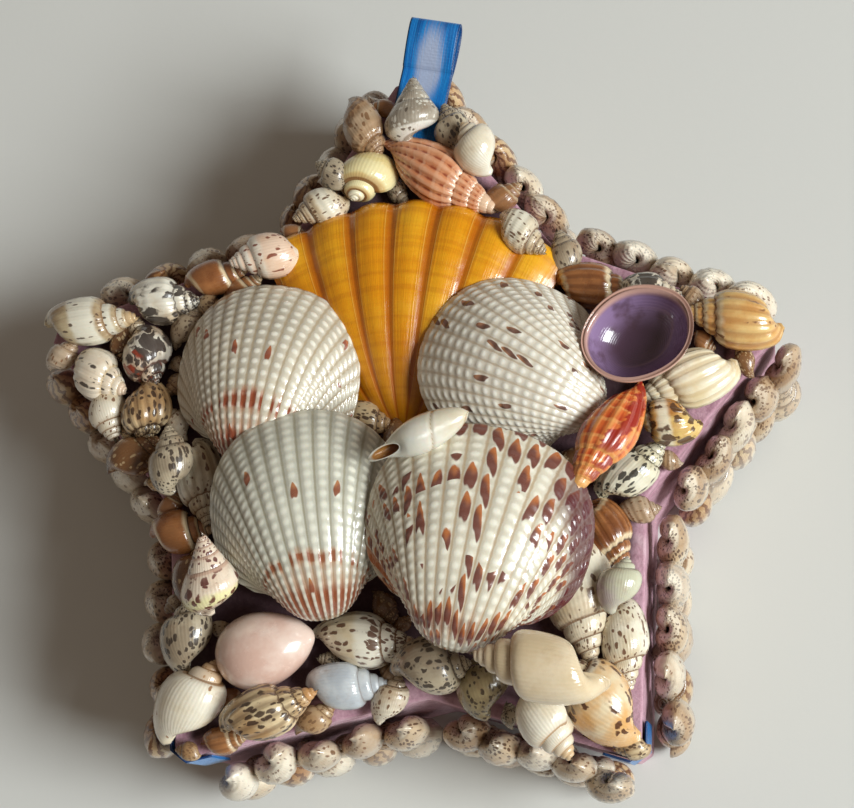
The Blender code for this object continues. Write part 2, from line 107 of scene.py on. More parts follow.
class Sculpt:
    # points and faces gathered for one piece, with marks that its finish reads
    def __init__(self):
        self.points, self.faces, self.slots, self.marks, self.count = [], [], [], {}, 0

    def add(self, points, faces, slot=0, **marks):
        start, size = self.count, len(points)
        self.points.append(np.asarray(points, float))
        self.faces += [tuple(start + i for i in face) for face in faces]
        self.slots += [slot] * len(faces)
        for name in set(marks) | set(self.marks):
            value = marks.get(name, 0.0)
            value = np.broadcast_to(np.asarray(value, float), (size,))
            self.marks.setdefault(name, [np.zeros(start)] if start else [])
            self.marks[name].append(value)
        self.count += size

    def join(self, first, second, columns, wrap=False):
        # the strip between two rows of points
        for c in range(columns if wrap else columns - 1):
            after = (c + 1) % columns
            self.faces.append((first + c, first + after, second + after, second + c))
            self.slots.append(0)

    def place(self, turn, middle=(0, 0, 0)):
        self.points = [np.vstack(self.points) @ np.asarray(turn).T + np.array(middle, float)]

    def centreOn(self, low, high):
        # the middle of the piece's own box goes to the middle of this one
        points = np.vstack(self.points)
        shift = (np.array(low) + np.array(high)) / 2 - (points.min(0) + points.max(0)) / 2
        self.points = [points + shift]

    def fillBox(self, low, high, larger, most=1.3):
        # grown evenly until its plan is as large as that box, and then a little more
        points = np.vstack(self.points)
        size, room = np.ptp(points, axis=0), np.array(high) - np.array(low)
        grow = min(most, larger * math.sqrt(room[0] * room[1] / (size[0] * size[1])))
        self.points = [points * grow]
        self.centreOn(low, high)

    def build(self, name, finishes, smooth=True):
        mesh = bpy.data.meshes.new(name)
        mesh.from_pydata(np.vstack(self.points).tolist(), [], self.faces)
        for key, parts in self.marks.items():
            layer = mesh.attributes.new(key, "FLOAT", "POINT")
            layer.data.foreach_set("value", np.concatenate(parts).astype(np.float32))
        finishes = finishes if isinstance(finishes, (list, tuple)) else [finishes]
        for finish in finishes:
            mesh.materials.append(finish)
        mesh.polygons.foreach_set("material_index", np.array(self.slots, np.int32))
        mesh.polygons.foreach_set("use_smooth", np.full(len(self.faces), smooth, bool))
        mesh.update()
        mesh.validate()
        obj = bpy.data.objects.new(name, mesh)
        scene.collection.objects.link(obj)
        return obj


class Finish:
    # a procedural material, written as short sums of values and textures
    def __init__(self, name):
        self.material = bpy.data.materials.new(name)
        self.material.use_nodes = True
        self.tree = self.material.node_tree
        self.shader = self.tree.nodes["Principled BSDF"]

    def node(self, kind, values=(), **settings):
        made = self.tree.nodes.new("ShaderNode" + kind)
        for key, value in settings.items():
            setattr(made, key, value)
        for key, value in dict(values).items():
            self.give(made.inputs[key], value)
        return made

    def give(self, socket, value):
        if isinstance(value, bpy.types.NodeSocket):
            self.tree.links.new(value, socket)
        elif value is not None:
            socket.default_value = value

    def mark(self, name):
        return self.node("Attribute", attribute_name=name).outputs["Fac"]

    def place(self):
        return self.node("TexCoord").outputs["Object"]

    def sum(self, kind, a, b=0.0, c=0.0):
        return self.node("Math", {0: a, 1: b, 2: c}, operation=kind).outputs[0]

    def plus(self, a, b):
        return self.sum("ADD", a, b)

    def minus(self, a, b):
        return self.sum("SUBTRACT", a, b)

    def times(self, a, b):
        return self.sum("MULTIPLY", a, b)

    def power(self, a, b):
        return self.sum("POWER", a, b)

    def span(self, value, low, high, outLow=0.0, outHigh=1.0):
        made = self.node("MapRange", {0: value, 1: low, 2: high, 3: outLow, 4: outHigh},
                         interpolation_type="SMOOTHSTEP", clamp=True)
        return made.outputs[0]

    def vector(self, x, y, z=0.0):
        return self.node("CombineXYZ", {0: x, 1: y, 2: z}).outputs[0]

    def noise(self, where, scale, detail=3.0, rough=0.55):
        made = self.node("TexNoise", {"Vector": where, "Scale": scale, "Detail": detail, "Roughness": rough})
        return made.outputs["Fac"]

    def cells(self, where, scale=1.0, jitter=1.0):
        return self.node("TexVoronoi", {"Vector": where, "Scale": scale, "Randomness": jitter}).outputs

    def mix(self, share, a, b):
        made = self.node("Mix", data_type="RGBA")
        self.give(made.inputs["Factor"], share)
        self.give(made.inputs[6], a)
        self.give(made.inputs[7], b)
        return made.outputs[2]

    def bump(self, height, distance, strength):
        return self.node("Bump", {"Height": height, "Distance": distance, "Strength": strength}).outputs[0]

    def done(self, colour, rough, normal, **fixed):
        self.give(self.shader.inputs["Base Color"], colour)
        self.give(self.shader.inputs["Roughness"], rough)
        self.give(self.shader.inputs["Normal"], normal)
        for name, value in fixed.items():
            self.shader.inputs[name.replace("_", " ")].default_value = value
        return self.material


# camera, floor and light

view = {
    "azimuth": 38.0, "elevation": 75.0, "roll": -38.6,
    "target": (2.77 * mm, 5.03 * mm, 27.3 * mm),
    "distance": 290 * mm, "lens": 89.1,
}


def makeCamera():
    a, e, r = (math.radians(view[key]) for key in ("azimuth", "elevation", "roll"))
    back = Vector((math.sin(a) * math.cos(e), -math.cos(a) * math.cos(e), math.sin(e)))
    side = Vector((math.cos(a), math.sin(a), 0))
    up = back.cross(side)
    right = side * math.cos(r) + up * math.sin(r)
    upright = back.cross(right)
    data = bpy.data.cameras.new("camera")
    data.sensor_width, data.lens, data.clip_start = 36, view["lens"], 0.01
    camera = bpy.data.objects.new("camera", data)
    scene.collection.objects.link(camera)
    spot = Vector(view["target"]) + back * view["distance"]
    camera.matrix_world = Matrix.Translation(spot) @ Matrix((right, upright, back)).transposed().to_4x4()
    scene.camera = camera


def makeFloor():
    finish = Finish("paleTable")
    where = finish.place()
    cloud = finish.noise(where, 3.0, 4)
    grain = finish.noise(where, 900.0, 2)
    colour = finish.mix(cloud, paint(209, 209, 205), paint(216, 216, 212))
    material = finish.done(colour, 0.55, finish.bump(grain, 0.00005, 0.25), Specular_IOR_Level=0.3)
    floor = Sculpt()
    size = 3.0
    floor.add([(-size, -size, 0), (size, -size, 0), (size, size, 0), (-size, size, 0)], [(0, 1, 2, 3)])
    floor.build("table", material, smooth=False)


lights = {
    "window": {"place": (0.90, -0.19, 0.76), "size": (0.50, 0.50), "power": 17.6, "colour": (0.95, 1.0, 1.0)},
}
surround = {"colour": (1.0, 0.82, 0.66, 1.0), "strength": 0.17}


def makeLights():
    for name, light in lights.items():
        data = bpy.data.lights.new(name, "AREA")
        data.shape = "RECTANGLE"
        data.size, data.size_y = light["size"]
        data.energy, data.color = light["power"], light["colour"]
        lamp = bpy.data.objects.new(name, data)
        lamp.location = light["place"]
        aim = Vector(view["target"]) - Vector(light["place"])
        lamp.rotation_euler = aim.to_track_quat("-Z", "Y").to_euler()
        scene.collection.objects.link(lamp)
    world = bpy.data.worlds.new("room")
    world.use_nodes = True
    world.node_tree.nodes["Background"].inputs["Color"].default_value = surround["colour"]
    world.node_tree.nodes["Background"].inputs["Strength"].default_value = surround["strength"]
    scene.world = world
    scene.view_settings.view_transform = "Standard"


makeCamera()
makeFloor()
makeLights()
print("camera, table and lights are in place")


# the star box, its covering of mauve flock

# the near-black colour is painted shade with glue, for the lid's top between the shells
flock = {"light": paint(208, 168, 182), "dark": paint(166, 120, 136), "worn": paint(222, 194, 202),
         "glued": paint(42, 27, 26),
         "sheen": paint(230, 205, 212), "tips": 5, "edgeFromMiddle": 33.2 * mm, "edgeLean": 51.6,
         "plainEdge": 1.6 * mm, "gluedFrom": 3.2 * mm, "softEdge": 0.35 * mm}


def makeFlock():
    finish = Finish("mauveFlock")
    where = finish.place()
    patch = finish.noise(where, 55.0, 4)
    fibre = finish.noise(where, 3200.0, 3, 0.7)
    fluff = finish.noise(where, 900.0, 3, 0.65)
    shade = finish.plus(finish.times(patch, 0.5), finish.times(fluff, 0.5))
    colour = finish.mix(finish.span(shade, 0.32, 0.68), flock["dark"], flock["light"])
    colour = finish.mix(finish.span(finish.noise(where, 160.0, 5), 0.60, 0.72, 0.0, 0.5), colour,
                        flock["worn"])
    # distance in from the nearest edge of an even star, folded about its tips
    part = finish.node("SeparateXYZ", {0: where}).outputs
    apart = 2 * math.pi / flock["tips"]
    bearing = finish.minus(finish.sum("ARCTAN2", part[1], part[0]), math.radians(54))
    fold = finish.sum("ABSOLUTE", finish.minus(finish.sum("FLOORED_MODULO", bearing, apart), apart / 2))
    out = finish.sum("SQRT", finish.plus(finish.power(part[0], 2.0), finish.power(part[1], 2.0)))
    reach = finish.times(out, finish.sum("COSINE", finish.minus(fold, math.radians(flock["edgeLean"]))))
    inward = finish.minus(flock["edgeFromMiddle"], reach)
    ragged = finish.plus(inward, finish.times(finish.minus(patch, 0.5), 0.006))
    facing = finish.node("SeparateXYZ", {0: finish.node("NewGeometry").outputs["Normal"]}).outputs
    upward = finish.span(facing[2], 0.5, 0.9)
    onLid = finish.times(finish.span(part[2], 26.0 * mm, 27.0 * mm), upward)
    # painted shade and glue: away from its edges the lid's top darkens to near black, where it lies in shade
    # under and between the shells
    shadedAndGlued = finish.times(finish.span(ragged, flock["plainEdge"], flock["gluedFrom"], 0.0, 0.85), onLid)
    colour = finish.mix(shadedAndGlued, colour, flock["glued"])
    height = finish.plus(finish.times(fibre, 0.5), fluff)
    return finish.done(colour, 0.95, finish.bump(height, 0.00022, 0.8), Specular_IOR_Level=0.15,
                       Sheen_Weight=0.55, Sheen_Roughness=0.45, Sheen_Tint=flock["sheen"])


def coverBox():
    material = makeFlock()
    for name in ("box_base", "box_lid"):
        node = frame["nodes"][name]
        node.data.materials.clear()
        node.data.materials.append(material)
        weld = node.modifiers.new("weld", "WELD")
        weld.merge_threshold = 0.00001
        edge = node.modifiers.new("soft edge", "BEVEL")
        edge.width, edge.segments, edge.limit_method = flock["softEdge"], 3, "ANGLE"
        edge.angle_limit = math.radians(25)
        node.data.polygons.foreach_set("use_smooth", np.zeros(len(node.data.polygons), bool))


coverBox()


def planOf(name):
    # the corners of a node seen from above, each one once
    return sorted({(round(v.co.x, 6), round(v.co.y, 6)) for v in frame["nodes"][name].data.vertices})


outline = [Vector(p) for p in sorted(planOf("box_lid"), key=lambda p: math.atan2(p[1], p[0]))]
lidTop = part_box("box_lid")[1].z
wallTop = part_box("box_base")[1].z
print("the box is covered, its outline has", len(outline), "points")


# snail shells

# the open section that is swept round the axis: share of the radius, share of the length from the apex.
# The first list runs down the outside from the seam, the second comes back up inside.
sections = {
    "whelk": {
        "outside": [(0.58, 0.385), (0.80, 0.425), (0.95, 0.495), (1.0, 0.60), (0.97, 0.74), (0.86, 0.86),
                    (0.66, 0.95), (0.40, 0.99), (0.22, 1.0)],
        "inside": [(0.22, 1.0), (0.08, 0.96), (0.09, 0.84), (0.15, 0.70), (0.24, 0.56), (0.38, 0.45),
                   (0.58, 0.385)],
        "shrink": 0.655,
    },
    "spindle": {
        "outside": [(0.62, 0.40), (0.80, 0.435), (0.94, 0.50), (1.0, 0.585), (0.95, 0.70), (0.80, 0.81),
                    (0.58, 0.91), (0.36, 0.97), (0.18, 1.0)],
        "inside": [(0.18, 1.0), (0.07, 0.95), (0.09, 0.84), (0.14, 0.72), (0.26, 0.58), (0.42, 0.46),
                   (0.62, 0.40)],
        "shrink": 0.70,
    },
    "globe": {
        "outside": [(0.50, 0.265), (0.74, 0.30), (0.92, 0.385), (1.0, 0.51), (0.97, 0.66), (0.85, 0.80),
                    (0.64, 0.915), (0.42, 0.98), (0.26, 1.0)],
        "inside": [(0.26, 1.0), (0.08, 0.93), (0.08, 0.80), (0.13, 0.64), (0.22, 0.48), (0.34, 0.35),
                   (0.50, 0.265)],
        "shrink": 0.53,
    },
    "cone": {
        "outside": [(0.62, 0.465), (0.74, 0.52), (0.87, 0.61), (0.98, 0.70), (1.0, 0.77), (0.93, 0.86),
                    (0.74, 0.93), (0.50, 0.98), (0.26, 1.0)],
        "inside": [(0.26, 1.0), (0.10, 0.96), (0.10, 0.88), (0.16, 0.78), (0.28, 0.66), (0.44, 0.55),
                   (0.62, 0.465)],
        "shrink": 0.66,
    },
    "tulip": {
        "outside": [(0.62, 0.40), (0.83, 0.43), (0.97, 0.49), (1.0, 0.59), (0.98, 0.72), (0.92, 0.83),
                    (0.82, 0.92), (0.66, 0.98), (0.48, 1.0)],
        "inside": [(0.48, 1.0), (0.22, 0.98), (0.13, 0.86), (0.18, 0.68), (0.30, 0.55), (0.46, 0.45),
                   (0.62, 0.40)],
        "shrink": 0.64,
    },
    "egg": {
        "outside": [(0.50, 0.22), (0.75, 0.26), (0.94, 0.36), (1.0, 0.50), (0.99, 0.66), (0.92, 0.82),
                    (0.74, 0.93), (0.42, 1.0), (0.06, 1.01)],
        "inside": [(0.06, 1.01), (0.02, 0.95), (0.04, 0.80), (0.12, 0.60), (0.22, 0.42), (0.34, 0.30),
                   (0.50, 0.22)],
        "shrink": 0.50,
    },
}

plainBody = {
    "whorls": 4.7, "perWhorl": 32, "outsidePoints": 15, "insidePoints": 7,
    "ribs": 0, "ribHeight": 0.0, "ribSharp": 1.0, "ribSlant": 0.0, "ribEnd": 0.9,
    "cords": 0, "cordHeight": 0.0, "lip": 0.06, "wall": 0.10, "flat": 0.88, "closed": False,
}


def snail(sculpt, kind, length, width, spin=0.0, seed=0.0, tint=0.0, slot=0, turn=None, middle=(0, 0, 0),
          **changes):
    # a coiled shell with its axis along X, its spire at +X and its mouth turned by spin (0 is face down)
    body = dict(plainBody, **changes)
    section = sections[kind]
    down = smoothCurve(section["outside"], body["outsidePoints"])
    back = smoothCurve(section["inside"], body["insidePoints"] + 1)[1:-1]
    loop = np.vstack([down, back])
    across = np.concatenate([np.linspace(0, 1, len(down)), np.linspace(1, 2, len(back) + 2)[1:-1]])
    count = len(loop)
    along = np.roll(loop, -1, 0) - np.roll(loop, 1, 0)
    normal = np.stack([-along[:, 1], along[:, 0]], 1) * -1
    normal /= np.linalg.norm(normal, axis=1)[:, None] + 1e-9
    heart = loop.mean(0)
    if body["closed"]:
        heart[0] = 0.08  # its blunt end closes in on the axis, so that no hole is left there
    steps = []
    at = 0.0
    while at < body["whorls"]:
        steps.append(at)
        at += (1.0 if at < 1.6 else 1.4 if at < 2.6 else 2.0) / body["perWhorl"]
    rings = []  # whorls back from the mouth, share of the way in to the inner wall, how far inside
    if body["closed"]:
        rings += [(-0.26 * math.cos(t), (1 - math.sin(t)) / body["wall"], 0.0)
                  for t in np.linspace(0.06, 1.45, 7)]
    else:
        rings += [(back, 1.0, 1.0) for back in (0.34, 0.22, 0.13, 0.06, 0.0)]
        rings.append((-0.008, 0.55, 0.5))
    rings += [(0.0 if i == 0 else s, 0.0, 0.0) for i, s in enumerate(steps)]
    points, growth, acrossAll, relief, inside = [], [], [], [], []
    squat = np.array([1.0, width / length * 0.5])
    fadeIn, fadeOut = np.clip(across / 0.06 + 0.3, 0, 1), np.clip((body["ribEnd"] - across) / 0.25, 0, 1)
    window = fadeOut * fadeIn * (across <= 1)
    for back, inner, hollow in rings:
        size = section["shrink"] ** max(back, 0)
        flare = 1 + body["lip"] * math.exp(-((max(back, 0) / 0.035) ** 2))
        flare = flare if hollow < 1 or back < 0.01 else 1
        ring = heart + (loop - heart) * (1 - body["wall"] * inner) * flare
        ridge = 0.0
        if body["ribs"] and not hollow:
            wave = 0.5 + 0.5 * np.cos(2 * math.pi * (body["ribs"] * back + body["ribSlant"] * across))
            ridge = wave ** body["ribSharp"]
            strength = body["ribHeight"] * min(1.0, size * 2.2)
            ring = ring + normal * (ridge * window * strength)[:, None] * squat
        cord = 0.0
        if body["cords"] and not hollow:
            cord = 0.5 + 0.5 * np.cos(2 * math.pi * body["cords"] * across)
            ring = ring + normal * (cord * (across <= 1) * body["cordHeight"])[:, None] * squat
        angle = math.radians(spin) + 2 * math.pi * back
        radius = size * ring[:, 0] * width / 2
        points.append(np.stack([length * (0.5 - size * ring[:, 1]), radius * math.cos(angle),
                                body["flat"] * radius * math.sin(angle)], 1))
        growth.append(np.full(count, back))
        acrossAll.append(across)
        plain = np.isscalar(ridge) and not body["cords"]
        relief.append(np.full(count, 0.5) if plain else ridge * 0.7 + cord * 0.3 + 0 * across)
        inside.append(np.full(count, hollow))
    rows = len(rings)
    faces = gridFaces(rows, count, True)
    points = np.vstack(points)
    deep = points[:count].mean(0)
    tip = np.array([length * (0.5 - 0.4 * section["shrink"] ** rings[-1][0] * loop[0, 1]), 0, 0])
    points = np.vstack([points, deep, tip])
    last = (rows - 1) * count
    faces += [(rows * count, (c + 1) % count, c) for c in range(count)]
    faces += [(rows * count + 1, last + c, last + (c + 1) % count) for c in range(count)]
    if turn is not None:
        points = points @ np.asarray(turn).T + np.array(middle, float)
    grown = np.concatenate([np.concatenate(growth), [0.4, body["whorls"]]])
    sculpt.add(points, [face[::-1] for face in faces], slot, tint=tint, growth=grown,
               across=np.concatenate([np.concatenate(acrossAll), [1.5, 0.0]]),
               relief=np.concatenate([np.concatenate(relief), [0.5, 0.5]]),
               inside=np.concatenate([np.concatenate(inside), [1.0, 0.0]]), seed=seed)


def cowrie(sculpt, length, width, height, seed=0.0):
    # a smooth bean: blunt at one end, a little pinched at the other, with the slit underneath
    rows, columns = 40, 36
    points, growth, across = [], [], []
    for i in range(rows + 1):
        t = i / rows
        x = -math.cos(math.pi * t)
        girth = math.sqrt(max(0.0, 1 - x * x)) * (1 - 0.20 * x - 0.06 * x**2)
        girth *= 1 - 0.10 * math.exp(-((x - 0.93) / 0.10) ** 2)
        for j in range(columns):
            a = 2 * math.pi * j / columns
            slit = math.exp(-((a - 1.5 * math.pi) / 0.16) ** 2) * 0.22 * min(1, 4 * girth)
            radius = girth * (1 - slit)
            up = math.sin(a)
            points.append((length / 2 * x, width / 2 * radius * math.cos(a) * (1 + 0.05 * up),
                           height / 2 * radius * up * (1.0 if up > 0 else 0.82)))
            growth.append(t)
            across.append(abs(math.cos(a)))
    faces = [face[::-1] for face in gridFaces(rows + 1, columns, True)]
    sculpt.add(points, faces, growth=growth, across=across, relief=0.5, inside=0.0, seed=seed)


# how a snail shell is coloured. Every entry is optional:
# ground and cloud (two ground colours), bands (from, to, colour, how strong),
# spots (colour, how many a whorl, rows, size, share that show), flames (colour, how many a whorl, width,
# wobble), grooves and crests (colour and strength), seam (colour, width), apex (colour, from which whorl),
# mouth (colour), ladder and cords (how many fine lines run along the coil), gloss, stain, clear, growthLines
looks = {
    "speckled": {
        "ground": (222, 208, 182), "cloud": (196, 172, 138), "spots": [((104, 72, 48), 26, 9, 0.30, 0.62)],
        "bands": [(0.34, 0.52, (236, 228, 208), 0.75)], "seam": ((120, 88, 62), 0.06), "cords": 9,
    },
    "tipWhelk": {
        "ground": (206, 188, 152), "cloud": (166, 138, 104), "bands": [(0.24, 0.46, (238, 232, 214), 0.9)],
        "spots": [((92, 72, 58), 22, 8, 0.26, 0.5)], "seam": ((140, 108, 76), 0.04),
        "apex": ((206, 170, 122), 2.0),
    },
    "barred": {
        "ground": (232, 226, 210), "cloud": (206, 186, 158), "spots": [((46, 34, 30), 9, 4, 0.50, 0.8)],
        "bands": [(0.42, 0.52, (238, 232, 216), 0.7)], "seam": ((60, 44, 36), 0.05), "cords": 6,
    },
    "redBlack": {
        "ground": (230, 222, 206), "cloud": (206, 180, 152),
        "spots": [((48, 32, 30), 9, 4, 0.52, 0.8), ((148, 58, 36), 6, 3, 0.40, 0.35)],
        "seam": ((90, 50, 36), 0.05),
    },
    "beaded": {
        "ground": (238, 230, 212), "cloud": (224, 206, 182), "spots": [((46, 34, 30), 20, 3.2, 0.24, 0.8)],
        "seam": ((200, 176, 140), 0.04), "apex": ((226, 196, 168), 2.2),
    },
    "spotted": {
        "ground": (236, 228, 208), "cloud": (212, 196, 166), "spots": [((104, 64, 38), 24, 9, 0.30, 0.55)],
        "grooves": ((150, 124, 92), 0.4), "seam": ((132, 96, 62), 0.05),
    },
    "orangeWhite": {
        "ground": (238, 228, 212), "cloud": (226, 190, 158), "spots": [((128, 58, 30), 22, 7, 0.30, 0.55)],
        "bands": [(0.30, 0.72, (226, 176, 140), 0.55), (0.0, 0.13, (246, 242, 232), 0.9)],
        "mouth": (150, 96, 66),
    },
    "ribbedTan": {
        "ground": (206, 132, 90), "cloud": (214, 148, 106), "grooves": ((136, 48, 18), 1.0),
        "crests": ((230, 178, 142), 0.6),
        "apex": ((238, 204, 172), 2.4), "seam": ((238, 206, 178), 0.07), "ladder": 11,
    },
    "redSpindle": {
        "ground": (206, 98, 42), "cloud": (222, 124, 62), "grooves": ((170, 50, 20), 0.85),
        "crests": ((236, 176, 104), 0.55),
        "flames": [((150, 24, 16), 3.2, 0.30, 0.6)], "apex": ((228, 170, 96), 1.9),
        "seam": ((226, 160, 90), 0.06), "ladder": 9,
    },
    "yellowGlobe": {
        "ground": (226, 204, 138), "cloud": (236, 220, 168),
        "bands": [(0.0, 0.20, (206, 158, 92), 0.4), (0.22, 0.42, (240, 228, 180), 0.6)],
        "seam": ((130, 84, 40), 0.045), "apex": ((240, 232, 206), 1.5), "gloss": 0.16,
    },
    "palePorcelain": {
        "ground": (236, 228, 210), "cloud": (220, 206, 180), "seam": ((168, 128, 84), 0.05), "gloss": 0.15,
        "apex": ((214, 178, 132), 1.8),
    },
    "creamGlobe": {
        "ground": (238, 230, 212), "cloud": (226, 212, 184), "seam": ((150, 108, 66), 0.05), "gloss": 0.14,
        "apex": ((190, 146, 98), 0.75), "spots": [((158, 112, 74), 16, 6, 0.22, 0.22)],
    },
    "greyCone": {
        "ground": (186, 176, 160), "cloud": (150, 138, 122),
        "spots": [((226, 220, 206), 26, 9, 0.32, 0.6), ((96, 84, 72), 20, 7, 0.26, 0.4)],
        "bands": [(0.52, 0.86, (240, 236, 226), 0.95)], "gloss": 0.2,
    },
    "dottedCone": {
        "ground": (238, 224, 204), "cloud": (232, 208, 184), "spots": [((92, 26, 26), 15, 6.0, 0.34, 0.95)],
        "bands": [(0.40, 0.62, (236, 228, 170), 0.9)], "gloss": 0.16, "seam": ((206, 170, 148), 0.04),
    },
    "dashed": {
        "ground": (234, 222, 196), "cloud": (222, 202, 166), "spots": [((96, 56, 34), 20, 6, 0.36, 0.72)],
        "bands": [(0.10, 0.36, (240, 234, 216), 0.95)], "seam": ((110, 74, 44), 0.05),
        "apex": ((212, 170, 126), 2.6),
    },
    "smoothBeige": {
        "ground": (216, 194, 158), "cloud": (228, 210, 180), "seam": ((120, 78, 42), 0.035), "gloss": 0.13,
        "growthLines": 0.5, "apex": ((226, 208, 180), 2.4), "stain": 0.15,
    },
    "mottled": {
        "ground": (220, 198, 158), "cloud": (180, 144, 100), "spots": [((62, 42, 32), 22, 8, 0.38, 0.62)],
        "grooves": ((110, 80, 54), 0.5), "seam": ((84, 60, 42), 0.05), "apex": ((206, 150, 92), 2.0),
    },
    "olive": {
        "ground": (170, 152, 112), "cloud": (120, 104, 76), "spots": [((64, 50, 38), 26, 9, 0.36, 0.6)],
        "seam": ((70, 54, 36), 0.05), "gloss": 0.2,
    },
    "orangePatch": {
        "ground": (232, 214, 180), "cloud": (222, 170, 106), "spots": [((78, 38, 22), 13, 6, 0.42, 0.55)],
        "bands": [(0.10, 0.24, (240, 232, 214), 0.8)], "seam": ((120, 70, 36), 0.05), "gloss": 0.16,
    },
    "brownBanded": {
        "ground": (176, 116, 68), "cloud": (126, 74, 40),
        "bands": [(0.05, 0.22, (236, 214, 176), 0.9), (0.62, 0.74, (232, 206, 164), 0.7)],
        "grooves": ((96, 48, 22), 0.5), "seam": ((74, 40, 22), 0.05), "apex": ((222, 192, 150), 2.2),
        "gloss": 0.18,
    },
    "darkBrown": {
        "ground": (132, 90, 54), "cloud": (84, 54, 34), "spots": [((206, 178, 136), 22, 8, 0.32, 0.5)],
        "seam": ((50, 32, 22), 0.05), "gloss": 0.2,
    },
    "greySpeckled": {
        "ground": (196, 182, 156), "cloud": (150, 134, 112), "spots": [((62, 50, 42), 24, 9, 0.36, 0.62)],
        "seam": ((84, 66, 50), 0.05),
    },
    "tipCream": {
        "ground": (228, 192, 128), "cloud": (214, 160, 92), "bands": [(0.06, 0.24, (242, 226, 184), 0.8)],
        "grooves": ((176, 116, 62), 0.5), "spots": [((128, 82, 48), 16, 5, 0.2, 0.3)],
        "seam": ((126, 84, 50), 0.05),
        "gloss": 0.2,
    },
    "ribbedWhite": {
        "ground": (240, 230, 204), "cloud": (228, 208, 166), "grooves": ((204, 176, 128), 0.5),
        "seam": ((214, 196, 160), 0.04),
        "gloss": 0.16,
    },
    "yellowBrown": {
        "ground": (224, 190, 116), "cloud": (176, 118, 56), "spots": [((84, 54, 34), 10, 5, 0.46, 0.75)],
        "bands": [(0.30, 0.44, (242, 236, 212), 0.8)], "seam": ((90, 56, 28), 0.05), "gloss": 0.18,
    },
    "blackSpots": {
        "ground": (228, 222, 200), "cloud": (206, 196, 164), "spots": [((34, 30, 26), 18, 8, 0.34, 0.62)],
        "seam": ((80, 70, 54), 0.05), "cords": 6,
    },
    "glassy": {
        "ground": (214, 218, 220), "cloud": (184, 190, 196), "seam": ((150, 146, 144), 0.04), "gloss": 0.08,
    },
    "lilac": {
        "ground": (200, 198, 172), "cloud": (182, 160, 170), "seam": ((110, 96, 90), 0.05), "gloss": 0.15,
    },
    "pinkBean": {
        "ground": (216, 180, 164), "cloud": (232, 208, 194), "growthLines": 0.0, "stain": 0.0, "gloss": 0.15,
    },
    "whiteSpindle": {
        "ground": (236, 232, 218), "cloud": (222, 212, 188), "seam": ((170, 140, 92), 0.03), "gloss": 0.10,
        "stain": 0.05,
        "mouth": (150, 104, 52), "clear": 0.25,
    },
}


